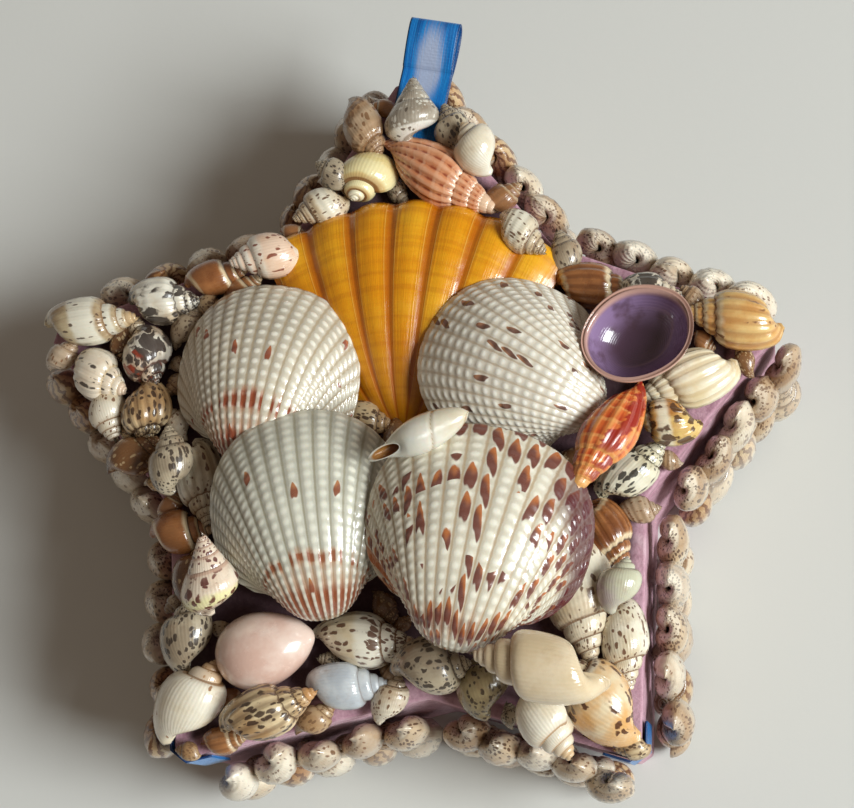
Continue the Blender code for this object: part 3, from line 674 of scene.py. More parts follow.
def shellFinish(name, look, shift=0.0):
    # the pattern follows the coil: growth counts whorls from the mouth, across runs from seam to base
    finish = Finish(name)
    growth, across = finish.mark("growth"), finish.mark("across")
    seed = finish.plus(finish.mark("seed"), shift)
    where = finish.node("VectorMath", {0: finish.place(), 1: finish.vector(seed, seed, seed)},
                        operation="ADD").outputs[0]
    wander = finish.noise(where, 420.0, 3)
    cloud = finish.span(finish.noise(where, 190.0, 4), 0.38, 0.66)
    colour = finish.mix(cloud, paint(*look["ground"]), paint(*look["cloud"]))
    wobble = finish.times(finish.minus(wander, 0.5), 0.10)
    lineAcross = finish.plus(across, wobble)
    stain = finish.span(finish.noise(where, 300.0, 5, 0.7), 0.52, 0.74, 0.0, look.get("stain", 0.35))
    colour = finish.mix(stain, colour, paint(146, 100, 62))
    if "crests" in look:
        tone, strength = look["crests"]
        colour = finish.mix(finish.span(finish.mark("relief"), 0.45, 0.95, 0.0, strength), colour,
                            paint(*tone))
    if "grooves" in look:
        tone, strength = look["grooves"]
        colour = finish.mix(finish.span(finish.mark("relief"), 0.42, 0.02, 0.0, strength), colour,
                            paint(*tone))
    if "ladder" in look:
        rung = finish.sum("SINE", finish.times(across, 2 * math.pi * look["ladder"]))
        colour = finish.mix(finish.span(rung, 0.55, 1.0, 0.0, 0.45), colour,
                            paint(*look.get("crests", look["ground"])[0]))
    for low, high, tone, strength in look.get("bands", ()):
        edge = 0.035
        share = finish.times(finish.span(lineAcross, low - edge, low + edge),
                             finish.span(lineAcross, high + edge, high - edge))
        colour = finish.mix(finish.times(share, strength), colour, paint(*tone))
    for tone, perWhorl, width, shake in look.get("flames", ()):
        stretched = finish.vector(finish.times(growth, 3.0), finish.times(across, 5.0), seed)
        shaken = finish.times(finish.noise(stretched, 1.6, 4), 1.7 * shake)
        phase = finish.plus(finish.times(growth, float(perWhorl)), shaken)
        slant = finish.plus(phase, finish.times(across, 0.7))
        wave = finish.sum("SINE", finish.times(slant, 2 * math.pi))
        colour = finish.mix(finish.span(wave, 1 - 2 * width - 0.25, 1 - 2 * width + 0.25, 0.0, 0.93), colour,
                            paint(*tone))
    for tone, perWhorl, rows, size, share in look.get("spots", ()):
        onward = finish.sum("MULTIPLY_ADD", growth, 1.3 * perWhorl, finish.times(cloud, 0.6))
        down = finish.sum("MULTIPLY_ADD", wander, 2.4, finish.times(across, 1.3 * rows))
        spread = finish.vector(onward, down, finish.times(seed, 31.0))
        cell = finish.cells(spread, 1.0, 0.95)
        lots = finish.node("SeparateColor", {0: cell["Color"]}).outputs
        reach = finish.times(finish.span(lots[1], 0.0, 1.0, 0.7, 1.5), size)
        rim = finish.minus(finish.plus(cell["Distance"], finish.times(wobble, 5.0)), reach)
        spot = finish.span(rim, 0.07, -0.07)
        shown = finish.sum("LESS_THAN", lots[0], min(1.0, 1.15 * share))
        colour = finish.mix(finish.times(finish.times(spot, shown), 0.92), colour, paint(*tone))
    if "seam" in look:
        tone, width = look["seam"]
        outer = finish.minus(1.0, finish.mark("inside"))
        shadow = finish.times(finish.span(across, 0.24, 0.06), outer)
        colour = finish.mix(finish.times(shadow, 0.35), colour, paint(*tone))
        line = finish.times(finish.span(across, 0.085 + width, 0.085), outer)
        colour = finish.mix(finish.times(line, 0.85), colour, paint(*tone))
    if "apex" in look:
        tone, start = look["apex"]
        colour = finish.mix(finish.span(growth, start, start + 0.9, 0.0, 0.85), colour, paint(*tone))
    mouth = look.get("mouth", tuple(int(0.80 * c) for c in look["ground"]))
    colour = finish.mix(finish.span(finish.mark("inside"), 0.55, 1.0), colour, paint(*mouth))
    # above 0 darkens towards brown, below 0 pales: random tone on the wall shells, painted shade on the small
    # gap shells that lie in shade between the larger ones
    tint = finish.mark("tint")
    colour = finish.mix(finish.span(tint, 0.0, 1.0, 0.0, 0.6), colour, paint(150, 110, 74))
    colour = finish.mix(finish.span(tint, 0.0, -1.0, 0.0, 0.55), colour, paint(240, 234, 220))
    # fine growth lines and a little grain under the varnish
    uneven = finish.plus(growth, finish.times(wobble, 0.06))
    lines = finish.sum("SINE", finish.times(uneven, 2 * math.pi * 46))
    grain = finish.noise(where, 1500.0, 3)
    height = finish.plus(finish.times(lines, 0.30 * look.get("growthLines", 0.5)), finish.times(grain, 0.5))
    if "cords" in look:
        cord = finish.sum("SINE", finish.times(across, 2 * math.pi * look["cords"]))
        height = finish.plus(height, finish.times(cord, 0.55))
    gloss = look.get("gloss", 0.26)
    rough = finish.span(finish.noise(where, 600.0, 3), 0.3, 0.75, gloss, gloss + 0.16)
    return finish.done(colour, rough, finish.bump(height, 0.00010, 0.55), Coat_Weight=0.7,
                       Coat_Roughness=0.08, Subsurface_Weight=0.06 + look.get("clear", 0.0),
                       Subsurface_Radius=(0.0010, 0.0006, 0.0004), Subsurface_Scale=1.0)


# name, kind, heading of the spire, length, width, lean, spin of the mouth, look, changes to the body
ribbed = {"ribs": 14, "ribHeight": 0.075, "perWhorl": 62, "ribSharp": 1.3}
latticed = {"ribs": 15, "ribHeight": 0.11, "ribSharp": 0.8, "cords": 11, "cordHeight": 0.018, "perWhorl": 90,
            "outsidePoints": 34}
lidSnails = [
    ("right_low_spiral", "tulip", 172, 19.6, 11.6, -4, -60, "smoothBeige",
     {"perWhorl": 64, "outsidePoints": 24}),
    ("right_low_grey", "whelk", -78, 15.0, 8.0, 0, 0, "speckled", {"perWhorl": 44}),
    ("low_dotted_cone", "cone", 98, 11.0, 8.4, 24, 0, "dottedCone", {"perWhorl": 44}),
    ("low_striped", "spindle", -5, 14.4, 7.0, 4, 0, "dashed", dict(ribbed, ribHeight=0.035)),
    ("top_ribbed", "spindle", -32, 18.6, 7.4, 2, 0, "ribbedTan", latticed),
    ("right_red_spindle", "spindle", -117, 18.2, 6.7, 16, 0, "redSpindle",
     dict(latticed, ribs=13, ribHeight=0.07, perWhorl=78, outsidePoints=30, cords=9, cordHeight=0.014,
          ribSharp=1.0)),
    ("top_cone", "cone", 92, 8.4, 7.2, 4, 0, "greyCone", {}),
    ("top_yellow", "globe", -105, 7.8, 7.2, 30, 0, "yellowGlobe", {"perWhorl": 44}),
    ("left_tip_whelk", "whelk", 5, 12.4, 6.6, 4, 0, "tipWhelk",
     {"ribs": 16, "ribHeight": 0.03, "perWhorl": 64}),
    ("left_orange_white", "whelk", 195, 9.4, 6.4, 10, 0, "orangeWhite", {}),
    ("left_beaded", "whelk", -27, 9.0, 6.9, 8, 0, "beaded", dict(ribbed, ribHeight=0.06)),
    ("left_striped", "globe", -60, 8.0, 7.0, 8, 0, "redBlack", dict(ribbed, ribHeight=0.05)),
    ("left_spotted", "whelk", -75, 11.8, 6.4, 6, 0, "spotted", dict(ribbed, ribHeight=0.06)),
    ("low_cream", "globe", 62, 11.4, 8.8, 6, 0, "creamGlobe", {"perWhorl": 44}),
    ("low_mottled", "whelk", 25, 12.8, 6.7, 4, 0, "mottled", dict(ribbed, ribs=12)),
    ("right_low_orange", "globe", 140, 11.6, 9.0, 6, 0, "orangePatch", {"perWhorl": 44}),
    ("right_low_white", "whelk", -55, 10.4, 7.2, 0, 40, "palePorcelain", {}),
    ("right_tip_cream", "whelk", 172, 12.4, 7.4, 0, 0, "tipCream", dict(ribbed, ribs=13, ribHeight=0.07)),
    ("right_ribbed_white", "whelk", 205, 13.2, 7.4, 4, 0, "ribbedWhite",
     dict(ribbed, ribs=14, ribHeight=0.10)),
    ("right_up_orange", "whelk", -5, 11.4, 6.1, 0, 0, "brownBanded", dict(ribbed, ribs=13)),
    ("left_black_white", "whelk", 3, 9.6, 6.4, 0, 0, "barred", dict(ribbed)),
    ("left_brown", "whelk", 18, 8.6, 5.1, 0, 0, "brownBanded", {}),
    ("left_brown_white", "globe", -80, 8.0, 6.8, 0, 0, "mottled", dict(ribbed)),
    ("left_low_grey", "whelk", 100, 8.6, 6.0, 0, 0, "greySpeckled", {}),
    ("left_banded", "whelk", 10, 8.0, 6.0, 0, 0, "brownBanded", {}),
    ("low_brown", "globe", 80, 7.6, 6.2, 0, 0, "darkBrown", {}),
    ("low_speckled", "globe", 95, 9.0, 7.2, 0, 0, "greySpeckled", {}),
    ("low_glassy", "whelk", 4, 9.6, 6.0, 0, 30, "glassy", {}),
    ("low_grey_speckled", "globe", 12, 9.0, 7.8, 0, 0, "greySpeckled", {}),
    ("right_low_mottled", "globe", 100, 8.0, 7.2, 0, 0, "olive", {}),
    ("right_low_spotted", "whelk", -82, 11.0, 6.0, 0, 0, "spotted", {}),
    ("right_low_lilac", "globe", 80, 6.6, 5.6, 0, 0, "lilac", {}),
    ("right_low_brown", "whelk", -60, 9.8, 6.2, 0, 0, "brownBanded", dict(ribbed)),
    ("right_yellow_brown", "globe", 180, 7.6, 6.0, 0, 0, "yellowBrown", dict(ribbed)),
    ("right_black_spots", "whelk", 45, 10.8, 6.1, 0, 0, "blackSpots", dict(ribbed, ribHeight=0.05)),
    ("right_up_black_white", "whelk", -3, 7.6, 5.0, 0, 0, "barred", dict(ribbed)),
    ("top_grey", "whelk", 150, 7.0, 5.6, 0, 0, "greySpeckled", {}),
    ("top_left_white", "whelk", 205, 7.6, 5.4, 0, 0, "speckled", {}),
    ("top_right_grey", "whelk", 112, 6.8, 5.0, 0, 0, "greySpeckled", {}),
    ("top_right_white", "globe", 125, 6.8, 6.0, 10, 0, "palePorcelain", {}),
    ("top_corner_pale", "whelk", -38, 7.8, 5.4, 0, 0, "speckled", {}),
]
# how much larger a shell is drawn than its place on the lid
lidSnailGrowth = {"others": 1.13, "right_low_spiral": 0.87, "right_low_grey": 1.25, "low_dotted_cone": 1.0,
                  "top_yellow": 1.35, "top_grey": 0.85}
# how far a shell is drawn from the middle of its place, in mm
lidSnailShift = {"others": (0.0, 0.0, 0.0), "top_grey": (-4.2, 1.2, -4.4)}
finishes = {}


def finishOf(look):
    if look not in finishes:
        finishes[look] = shellFinish(look + "Shell", looks[look], 0.37 * len(finishes))
    return finishes[look]


def layLidSnails():
    for number, (name, kind, heading, length, width, lean, spin, look, changes) in enumerate(lidSnails):
        shell = Sculpt()
        snail(shell, kind, length * mm, width * mm, spin=spin, seed=0.173 * number,
              turn=turned(heading, lean), **changes)
        shell.fillBox(*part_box(name), lidSnailGrowth.get(name, lidSnailGrowth["others"]))
        shell.place(np.eye(3), np.array(lidSnailShift.get(name, lidSnailShift["others"])) * mm)
        piece = shell.build(name + "_shell", finishOf(look))
        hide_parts(name)
        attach(piece, "lid")


layLidSnails()

centre = {
    "heading": 24, "lean": 4, "length": 14.6, "width": 4.9, "turns": 2.7,
    "wall": 0.18, "cut": 0.32, "curl": 0.45,
    # share of the length from the open end, share of the width
    "girths": [(0.0, 0.24), (0.10, 0.36), (0.28, 0.78), (0.48, 1.0), (0.67, 0.95), (0.83, 0.72), (0.94, 0.42),
               (1.0, 0.04)],
}


def layCentreShell():
    # a plump spindle with slanting seams, blunt at one end, at the other cut off aslant with a curled lip
    length, width = centre["length"] * mm, centre["width"] * mm
    columns = 72
    angle = np.linspace(0, 2 * math.pi, columns, endpoint=False)
    profile = smoothCurve(centre["girths"], 110)
    rings = [(t, r * (1 - centre["wall"]), 1.0) for t, r in profile[44:0:-4]]
    rings += [(0.0, 0.24 * 0.90, 0.5)] + [(t, r, 0.0) for t, r in profile]
    points, growth, across, inside = [], [], [], []
    for t, r, hollow in rings:
        phase = centre["turns"] * t + angle / (2 * math.pi)
        coil = phase % 1.0
        behind = min(1.0, max(0.0, (t - 0.40) / 0.12))
        groove = np.exp(-((np.minimum(coil, 1 - coil) / 0.05) ** 2)) * behind * (hollow == 0)
        flare = 1 + math.exp(-((t / 0.06) ** 2)) * (0.16 + centre["curl"] * (0.5 + 0.5 * np.cos(angle - 0.7)))
        radius = 0.5 * width * r * (1 - 0.05 * groove) * flare
        cut = centre["cut"] * length * (1 - t) ** 3 * (0.5 + 0.5 * np.sin(angle - 0.3))
        points.append(np.stack([length * (t - 0.5) + cut, radius * np.cos(angle),
                                0.92 * radius * np.sin(angle)], 1))
        growth.append(phase)
        across.append(0.5 + (1.4 * np.minimum(coil, 1 - coil) - 0.42) * behind * (hollow == 0))
        inside.append(np.full(columns, hollow))
    count = len(points)
    skin = np.vstack(points)
    faces = gridFaces(count, columns, True)
    size = len(skin)
    faces += [(size, (c + 1) % columns, c) for c in range(columns)]
    faces += [(size + 1, size - columns + c, size - columns + (c + 1) % columns) for c in range(columns)]
    shell = Sculpt()
    shell.add(np.vstack([skin, skin[:columns].mean(0), skin[-columns:].mean(0)]), faces,
              growth=np.concatenate(growth + [[0.0, 3.0]]), across=np.concatenate(across + [[0.5, 0.5]]),
              relief=0.5, inside=np.concatenate(inside + [[1.0, 0.0]]), seed=4.2)
    shell.place(turned(centre["heading"], centre["lean"]))
    shell.centreOn(*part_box("centre_shell"))
    piece = shell.build("centre_shell_spindle", finishOf("whiteSpindle"))
    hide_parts("centre_shell")
    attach(piece, "lid")


def layBean():
    bean = Sculpt()
    cowrie(bean, 14.6 * mm, 10.6 * mm, 9.4 * mm)
    bean.place(turned(15, 4))
    bean.fillBox(*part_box("low_bean"), 0.97)
    piece = bean.build("low_bean_shell", finishOf("pinkBean"))
    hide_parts("low_bean")
    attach(piece, "lid")


layCentreShell()
layBean()
print("snail shells are on the lid")


# cockle valves, the scallop and the purple cup

# crest is the colour of a painted highlight on the beads, shade that of the painted shade in the grooves
cockleLooks = {
    "cockle_1": {"heading": 82, "length": 25.6, "width": 25.8, "height": 9.0, "rise": 5, "roll": -2,
                 "ribs": 33, "beads": 27, "low": 1.3,
                 "bead": 0.21, "rib": 0.07, "smoothMiddle": 0.0, "ground": (216, 206, 186),
                 "shade": (178, 160, 132),
                 "crest": (240, 234, 218), "rust": (140, 56, 20), "gold": (178, 92, 40),
                 "rows": [(0.50, 0.028, 0.9, 0.15, 0.55), (0.33, 0.085, 0.95, 0.0, 0.95)],
                 "flecks": (0.05, 17.0, 0.27)},
    "cockle_2": {"heading": 152, "length": 25.4, "width": 24.4, "height": 8.5, "rise": 8, "roll": 0,
                 "ribs": 34, "beads": 27, "low": 1.3,
                 "bead": 0.20, "rib": 0.05, "smoothMiddle": 0.1, "ground": (226, 217, 200),
                 "shade": (192, 174, 150),
                 "crest": (244, 239, 226), "rust": (96, 46, 26), "gold": (160, 96, 50),
                 "rows": [], "flecks": (0.16, 17.0, 0.30)},
    "cockle_3": {"heading": 98, "length": 27.4, "width": 26.4, "height": 9.5, "rise": 10, "roll": 6,
                 "ribs": 30, "beads": 29, "low": 1.2,
                 "bead": 0.18, "rib": 0.10, "smoothMiddle": 0.85, "ground": (204, 202, 186),
                 "shade": (160, 154, 132),
                 "crest": (234, 232, 216), "rust": (138, 64, 26), "gold": (182, 110, 52),
                 "rows": [(0.47, 0.020, 0.85, 0.35, 0.9), (0.31, 0.10, 0.9, 0.0, 1.0)],
                 "flecks": (0.05, 17.0, 0.27)},
    "cockle_4": {"heading": 76, "length": 28.8, "width": 29.6, "height": 9.5, "rise": 9, "roll": 7,
                 "ribs": 31, "beads": 29, "low": 1.08,
                 "bead": 0.19, "rib": 0.09, "smoothMiddle": 0.5, "ground": (224, 216, 196),
                 "shade": (186, 164, 134),
                 "crest": (242, 237, 220), "rust": (104, 30, 12), "gold": (186, 100, 28),
                 "rows": [(0.34, 0.05, 0.5, 0.1, 0.9)], "flecks": (0.78, 10.0, 0.37), "redEdge": 0.9},
}
# rows: growth line, half its width, strength, share of ribs left out, spread over the valve.
# flecks: share of places that show one, how many rows, half their width in ribs.
# spiral: how fast the valve unrolls from its beak, full: how square its rim is,
# gape: degrees of rim left open
# at the hinge, beak: how broad the beak stays. A low above 1 puts the widest place nearer the hinge
valveBody = {"spiral": 1.5, "full": 2.3, "gape": 10.0, "beak": 0.8, "perRib": 6, "perBead": 5, "innerRows": 9,
             "wall": 0.55 * mm}


def valve(sculpt, look):
    # grows from the beak at the hinge: each growth line is the rim made smaller and turned up about the hinge
    length, width, height = look["length"] * mm / 1.13, look["width"] * mm, look["height"] * mm
    ribs, beads, spiral = look["ribs"], look["beads"], valveBody["spiral"]
    columns, rows = ribs * valveBody["perRib"] + 1, beads * valveBody["perBead"]
    start, power = math.radians(valveBody["gape"]), 2 / valveBody["full"]
    side = np.linspace(0, 1, columns)
    fine = np.linspace(start, 2 * math.pi - start, 900)

    def rimAt(angle):
        s, c = np.sin(angle), np.cos(angle)
        out = 0.5 * (1 - np.sign(c) * np.abs(c) ** power)
        return np.stack([-0.5 * width * np.sign(s) * np.abs(s) ** power, length * out ** look["low"]], 1)

    run = np.concatenate([[0], np.cumsum(np.linalg.norm(np.diff(rimAt(fine), axis=0), axis=1))])
    rim = rimAt(np.interp(side * run[-1], run, fine))  # the same arc of rim for every rib
    ridge = np.abs(np.sin(math.pi * side * ribs)) ** 0.7
    middle = np.exp(-((side - 0.5) / 0.15) ** 2) * look["smoothMiddle"]
    edge = np.clip(np.minimum(side, 1 - side) / 0.03, 0, 1)
    sizes = np.linspace(1, 0.03, rows)
    base, rises, relief = [], [], []
    for size in sizes:
        lift = -spiral * math.log(size)
        onBead = beads * size + 0.10 * np.sin(9 * side)
        bead = (0.5 + 0.5 * np.cos(2 * math.pi * onBead)) ** 1.3 * ridge**1.5
        bead = bead * (1 - 0.75 * middle)
        rise = (look["rib"] * mm * ridge * (1 + 0.5 * middle) + look["bead"] * mm * bead) * edge
        rises.append(rise * min(1, size * 2.2 + 0.1) * min(1, (1.012 - size) / 0.05))
        across, out = size ** valveBody["beak"] * rim[:, 0], size * rim[:, 1]
        base.append(np.stack([across, out * math.cos(lift), out * math.sin(lift)], 1))
        relief.append(0.42 * ridge * (1 + 0.7 * middle) + 0.58 * bead)
    base, rises = np.array(base), np.array(rises)
    normal = np.cross(np.gradient(base, axis=1), np.gradient(base, axis=0))
    normal /= np.linalg.norm(normal, axis=2)[:, :, None] + 1e-12
    if normal[rows // 3, columns // 2, 2] < 0:
        normal = -normal
    skin = base + normal * rises[:, :, None]
    every = valveBody["innerRows"]
    inner = base[::every] - normal[::every] * valveBody["wall"]
    inner[0] = skin[0] * np.array([0.98, 0.985, 1]) - np.array([0, 0, 0.22 * mm])
    low, high = skin[:, :, 2].min(), skin[:, :, 2].max()
    for layer in (skin, inner):
        layer[:, :, 2] = (layer[:, :, 2] - low) * height / (high - low)
    sculpt.add(skin.reshape(-1, 3), [face[::-1] for face in gridFaces(rows, columns, False)],
               growth=np.repeat(sizes, columns),
               across=np.tile(side, rows), relief=np.concatenate(relief), ridge=np.tile(ridge, rows),
               inside=0.0)
    start = sculpt.count
    sculpt.add(inner.reshape(-1, 3), gridFaces(len(inner), columns, False),
               growth=np.repeat(sizes[::every], columns),
               across=np.tile(side, len(inner)), relief=0.5, ridge=0.5, inside=1.0)
    sculpt.join(start - rows * columns, start, columns)


def cockleFinish(name, look):
    finish = Finish(name + "Finish")
    growth, across, relief = finish.mark("growth"), finish.mark("across"), finish.mark("relief")
    where = finish.place()
    ribs = float(look["ribs"])
    cloud = finish.span(finish.noise(where, 120.0, 4), 0.35, 0.68)
    colour = finish.mix(cloud, paint(*look["ground"]), paint(*[int(0.90 * c) for c in look["ground"]]))
    # painted highlight on the bead crests, painted shade in the grooves between ribs and beads
    colour = finish.mix(finish.span(relief, 0.46, 0.86), colour, paint(*look["crest"]))
    colour = finish.mix(finish.span(relief, 0.36, 0.06, 0.0, 0.9), colour, paint(*look["shade"]))
    # gold and rust along some growth lines, broken up from rib to rib
    onRib = finish.times(across, ribs)
    chance = finish.node("TexWhiteNoise", {"W": finish.sum("FLOOR", onRib)},
                         noise_dimensions="1D").outputs["Value"]
    waver = finish.times(finish.minus(finish.noise(where, 300.0, 4), 0.5), 0.09)
    arch = finish.times(finish.power(finish.minus(across, 0.5), 2.0), 0.5)
    for at, wide, strength, skip, spread in look["rows"]:
        line = finish.plus(finish.plus(growth, waver), arch)
        off = finish.sum("ABSOLUTE", finish.minus(line, at))
        aside = finish.sum("ABSOLUTE", finish.minus(across, 0.5))
        middle = finish.span(aside, spread * 0.5 + 0.06, spread * 0.5 - 0.06)
        some = finish.times(middle, finish.sum("GREATER_THAN", chance, float(skip)))
        some = finish.times(some, finish.span(finish.mark("ridge"), 0.98, 0.72, 0.15, 1.0))
        halo = finish.times(finish.span(off, wide * 1.9, wide * 0.8), some)
        colour = finish.mix(finish.times(halo, 0.5 * strength), colour, paint(*look["gold"]))
        heart = finish.times(finish.span(off, wide, wide * 0.35), some)
        colour = finish.mix(finish.times(heart, strength), colour, paint(*look["rust"]))
    # flecks lie on the ribs: a round dark head towards the hinge and a paler tail towards the rim
    shift = finish.noise(finish.vector(finish.times(across, 10.0), 0.0, ribs), 1.0, 3)
    share, fleckRows, fleckWide = look["flecks"]
    along = finish.sum("MULTIPLY_ADD", growth, fleckRows, finish.times(shift, 6.0))
    tail = finish.minus(1.0, finish.sum("FRACT", along))
    side = finish.sum("ABSOLUTE", finish.minus(finish.sum("FRACT", onRib), 0.5))
    spot = finish.vector(finish.sum("FLOOR", onRib), finish.sum("FLOOR", along))
    lot = finish.node("TexWhiteNoise", {"Vector": spot}, noise_dimensions="2D").outputs["Value"]
    region = finish.span(finish.noise(finish.vector(across, growth, ribs), 4.2, 2), 0.38, 0.56, 0.25, 1.0)
    some = finish.sum("LESS_THAN", lot, finish.times(region, share))
    swell = finish.sum("SINE", finish.times(finish.power(tail, 1.25), math.pi))
    half = finish.times(finish.power(swell, 0.55), fleckWide)
    off = finish.minus(finish.sum("MULTIPLY_ADD", waver, 2.0, side), half)
    fleck = finish.times(finish.times(finish.span(off, 0.05, -0.05), finish.span(tail, 0.93, 0.82)), some)
    tone = finish.mix(finish.span(tail, 0.12, 0.50), paint(*look["gold"]), paint(*look["rust"]))
    colour = finish.mix(finish.times(fleck, 0.92), colour, tone)
    if "redEdge" in look:
        nearRim = finish.span(finish.sum("MULTIPLY_ADD", waver, 1.6, growth), 0.70, 0.88)
        right = finish.times(finish.span(across, 0.58, 0.68), finish.span(across, 0.96, 0.90))
        dark = finish.times(finish.times(nearRim, right), look["redEdge"])
        colour = finish.mix(dark, colour, paint(84, 26, 36))
        stripe = finish.sum("ABSOLUTE", finish.minus(finish.sum("FRACT", finish.times(across, 20.0)), 0.5))
        low = finish.times(finish.span(across, 0.20, 0.15), finish.span(across, 0.05, 0.09))
        striped = finish.times(finish.span(stripe, 0.16, 0.30), low)
        colour = finish.mix(finish.times(striped, finish.span(growth, 0.2, 0.4, 0.0, 0.85)), colour,
                            paint(*look["gold"]))
    colour = finish.mix(finish.mark("inside"), colour, paint(206, 194, 180))
    rough = finish.span(finish.noise(where, 420.0, 3), 0.3, 0.75, 0.24, 0.40)
    return finish.done(colour, rough, finish.bump(finish.noise(where, 1400.0, 3), 0.00006, 0.35),
                       Coat_Weight=0.8, Coat_Roughness=0.07, Subsurface_Weight=0.10,
                       Subsurface_Radius=(0.0012, 0.0008, 0.0005), Subsurface_Scale=1.0)


def layCockles():
    for name, look in cockleLooks.items():
        shell = Sculpt()
        valve(shell, look)
        shell.place(turned(look["heading"], look["rise"], look["roll"]) @ turned(-90))
        shell.centreOn(*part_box(name))
        piece = shell.build(name + "_valve", cockleFinish(name, look))
        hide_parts(name)
        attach(piece, "lid")


layCockles()
print("cockles are on the lid")

# flare below 1 keeps the fan broad towards its hinge, round is how far its corners lie back
scallop = {"heading": 86, "length": 32.0, "width": 44.0, "height": 6.5, "rise": 5, "ribs": 7, "flare": 0.60,
           "round": 8.0, "wave": 0.5, "relief": 0.62,
           "ground": (226, 146, 10), "pale": (240, 174, 30), "deep": (176, 88, 2), "line": (250, 208, 110)}


def layScallop():
    length, width, height = (scallop[key] * mm for key in ("length", "width", "height"))
    ribs = scallop["ribs"]
    columns, rows = ribs * 36 + 1, 60
    share = np.linspace(-1, 1, columns)
    phase = (share + 1) / 2 * ribs
    inRib = phase % 1.0
    crown = np.sin(math.pi * inRib) ** 1.15  # a ridge, then a valley just as broad
    riblet = 0.5 + 0.5 * np.cos(2 * math.pi * 14 * inRib)
    sideBand = np.exp(-((np.minimum(inRib, 1 - inRib) - 0.17) / 0.07) ** 2)
    points, growth, across, relief, fine = [], [], [], [], []
    for row in range(rows):
        out = 0.02 + 0.98 * (row / (rows - 1)) ** 0.9
        wave = scallop["wave"] * mm * (crown - 0.5) * out**4
        x = 0.5 * width * share * out ** scallop["flare"] * (1 - 0.03 * share**2)
        y = (length - scallop["round"] * mm * share**2) * out + wave - length / 2
        up = height * 1.9 * out**0.6 * (1 - 0.995 * out) ** 0.5 * (1 - 0.62 * np.abs(share) ** 2.2)
        up = up + (scallop["relief"] * mm * (crown - 0.5) + 0.10 * mm * riblet * sideBand) * out**0.7
        up = up + 0.04 * mm * math.sin(out * 60) * out
        points.append(np.stack([x, y, up], 1))
        growth.append(np.full(columns, out))
        across.append(phase)
        relief.append(crown)
        fine.append(riblet * sideBand)
    skin = np.array(points)
    shell = Sculpt()
    shell.add(skin.reshape(-1, 3), gridFaces(rows, columns, False), growth=np.concatenate(growth),
              across=np.concatenate(across), relief=np.concatenate(relief), fine=np.concatenate(fine),
              inside=0.0)
    inner = skin[::4].copy()
    inner[:, :, 2] -= 0.7 * mm
    last = skin[-1:].copy()
    last[:, :, 2] -= 0.7 * mm
    last[:, :, :2] *= 0.99
    inner = np.concatenate([inner[:-1], last])
    start = shell.count
    shell.add(inner.reshape(-1, 3), [f[::-1] for f in gridFaces(len(inner), columns, False)], growth=0.5,
              across=0.0, relief=0.5, fine=0.0, inside=1.0)
    outer, under = start - columns, start + (len(inner) - 1) * columns
    strip = [(outer + c, under + c, under + c + 1, outer + c + 1) for c in range(columns - 1)]
    shell.faces += [f[::-1] for f in strip]
    shell.slots += [0] * len(strip)
    shell.place(turned(scallop["heading"], scallop["rise"]) @ turned(-90))
    shell.centreOn(*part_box("scallop"))
    finish = Finish("orangeScallop")
    grown, crest, thin = finish.mark("growth"), finish.mark("relief"), finish.mark("fine")
    where = finish.place()
    rings = finish.noise(finish.vector(0.0, finish.times(grown, 26.0), 0.0), 1.0, 3)
    cloud = finish.noise(where, 110.0, 4)
    colour = finish.mix(finish.span(cloud, 0.35, 0.7), paint(*scallop["ground"]), paint(*scallop["pale"]))
    colour = finish.mix(finish.span(rings, 0.45, 0.66, 0.0, 0.30), colour, paint(*scallop["deep"]))
    colour = finish.mix(finish.span(grown, 0.60, 0.20, 0.0, 0.55), colour, paint(*scallop["deep"]))
    # painted shade: the valleys between the ribs are darkened towards the deep colour
    colour = finish.mix(finish.span(crest, 0.75, 0.05, 0.0, 0.85), colour, paint(*scallop["deep"]))
    colour = finish.mix(finish.span(thin, 0.45, 0.95, 0.0, 0.6), colour, paint(*scallop["line"]))
    colour = finish.mix(finish.mark("inside"), colour, paint(228, 176, 96))
    streaky = finish.vector(finish.times(finish.mark("across"), 26.0), finish.times(grown, 3.0), 0.0)
    streak = finish.noise(streaky, 1.0, 3)
    height = finish.plus(finish.times(streak, 0.8), finish.times(finish.noise(where, 1300.0, 3), 0.4))
    material = finish.done(colour, finish.span(cloud, 0.3, 0.7, 0.20, 0.36),
                           finish.bump(height, 0.00012, 0.6), Coat_Weight=0.55,
                           Coat_Roughness=0.10, Subsurface_Weight=0.10,
                           Subsurface_Radius=(0.0015, 0.0007, 0.0003), Subsurface_Scale=1.0)
    piece = shell.build("scallop_valve", material)
    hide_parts("scallop")
    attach(piece, "lid")


layScallop()

cup = {"heading": 20, "lean": 6, "roll": -8, "length": 15.0, "width": 13.2, "depth": 5.6, "wall": 0.55}


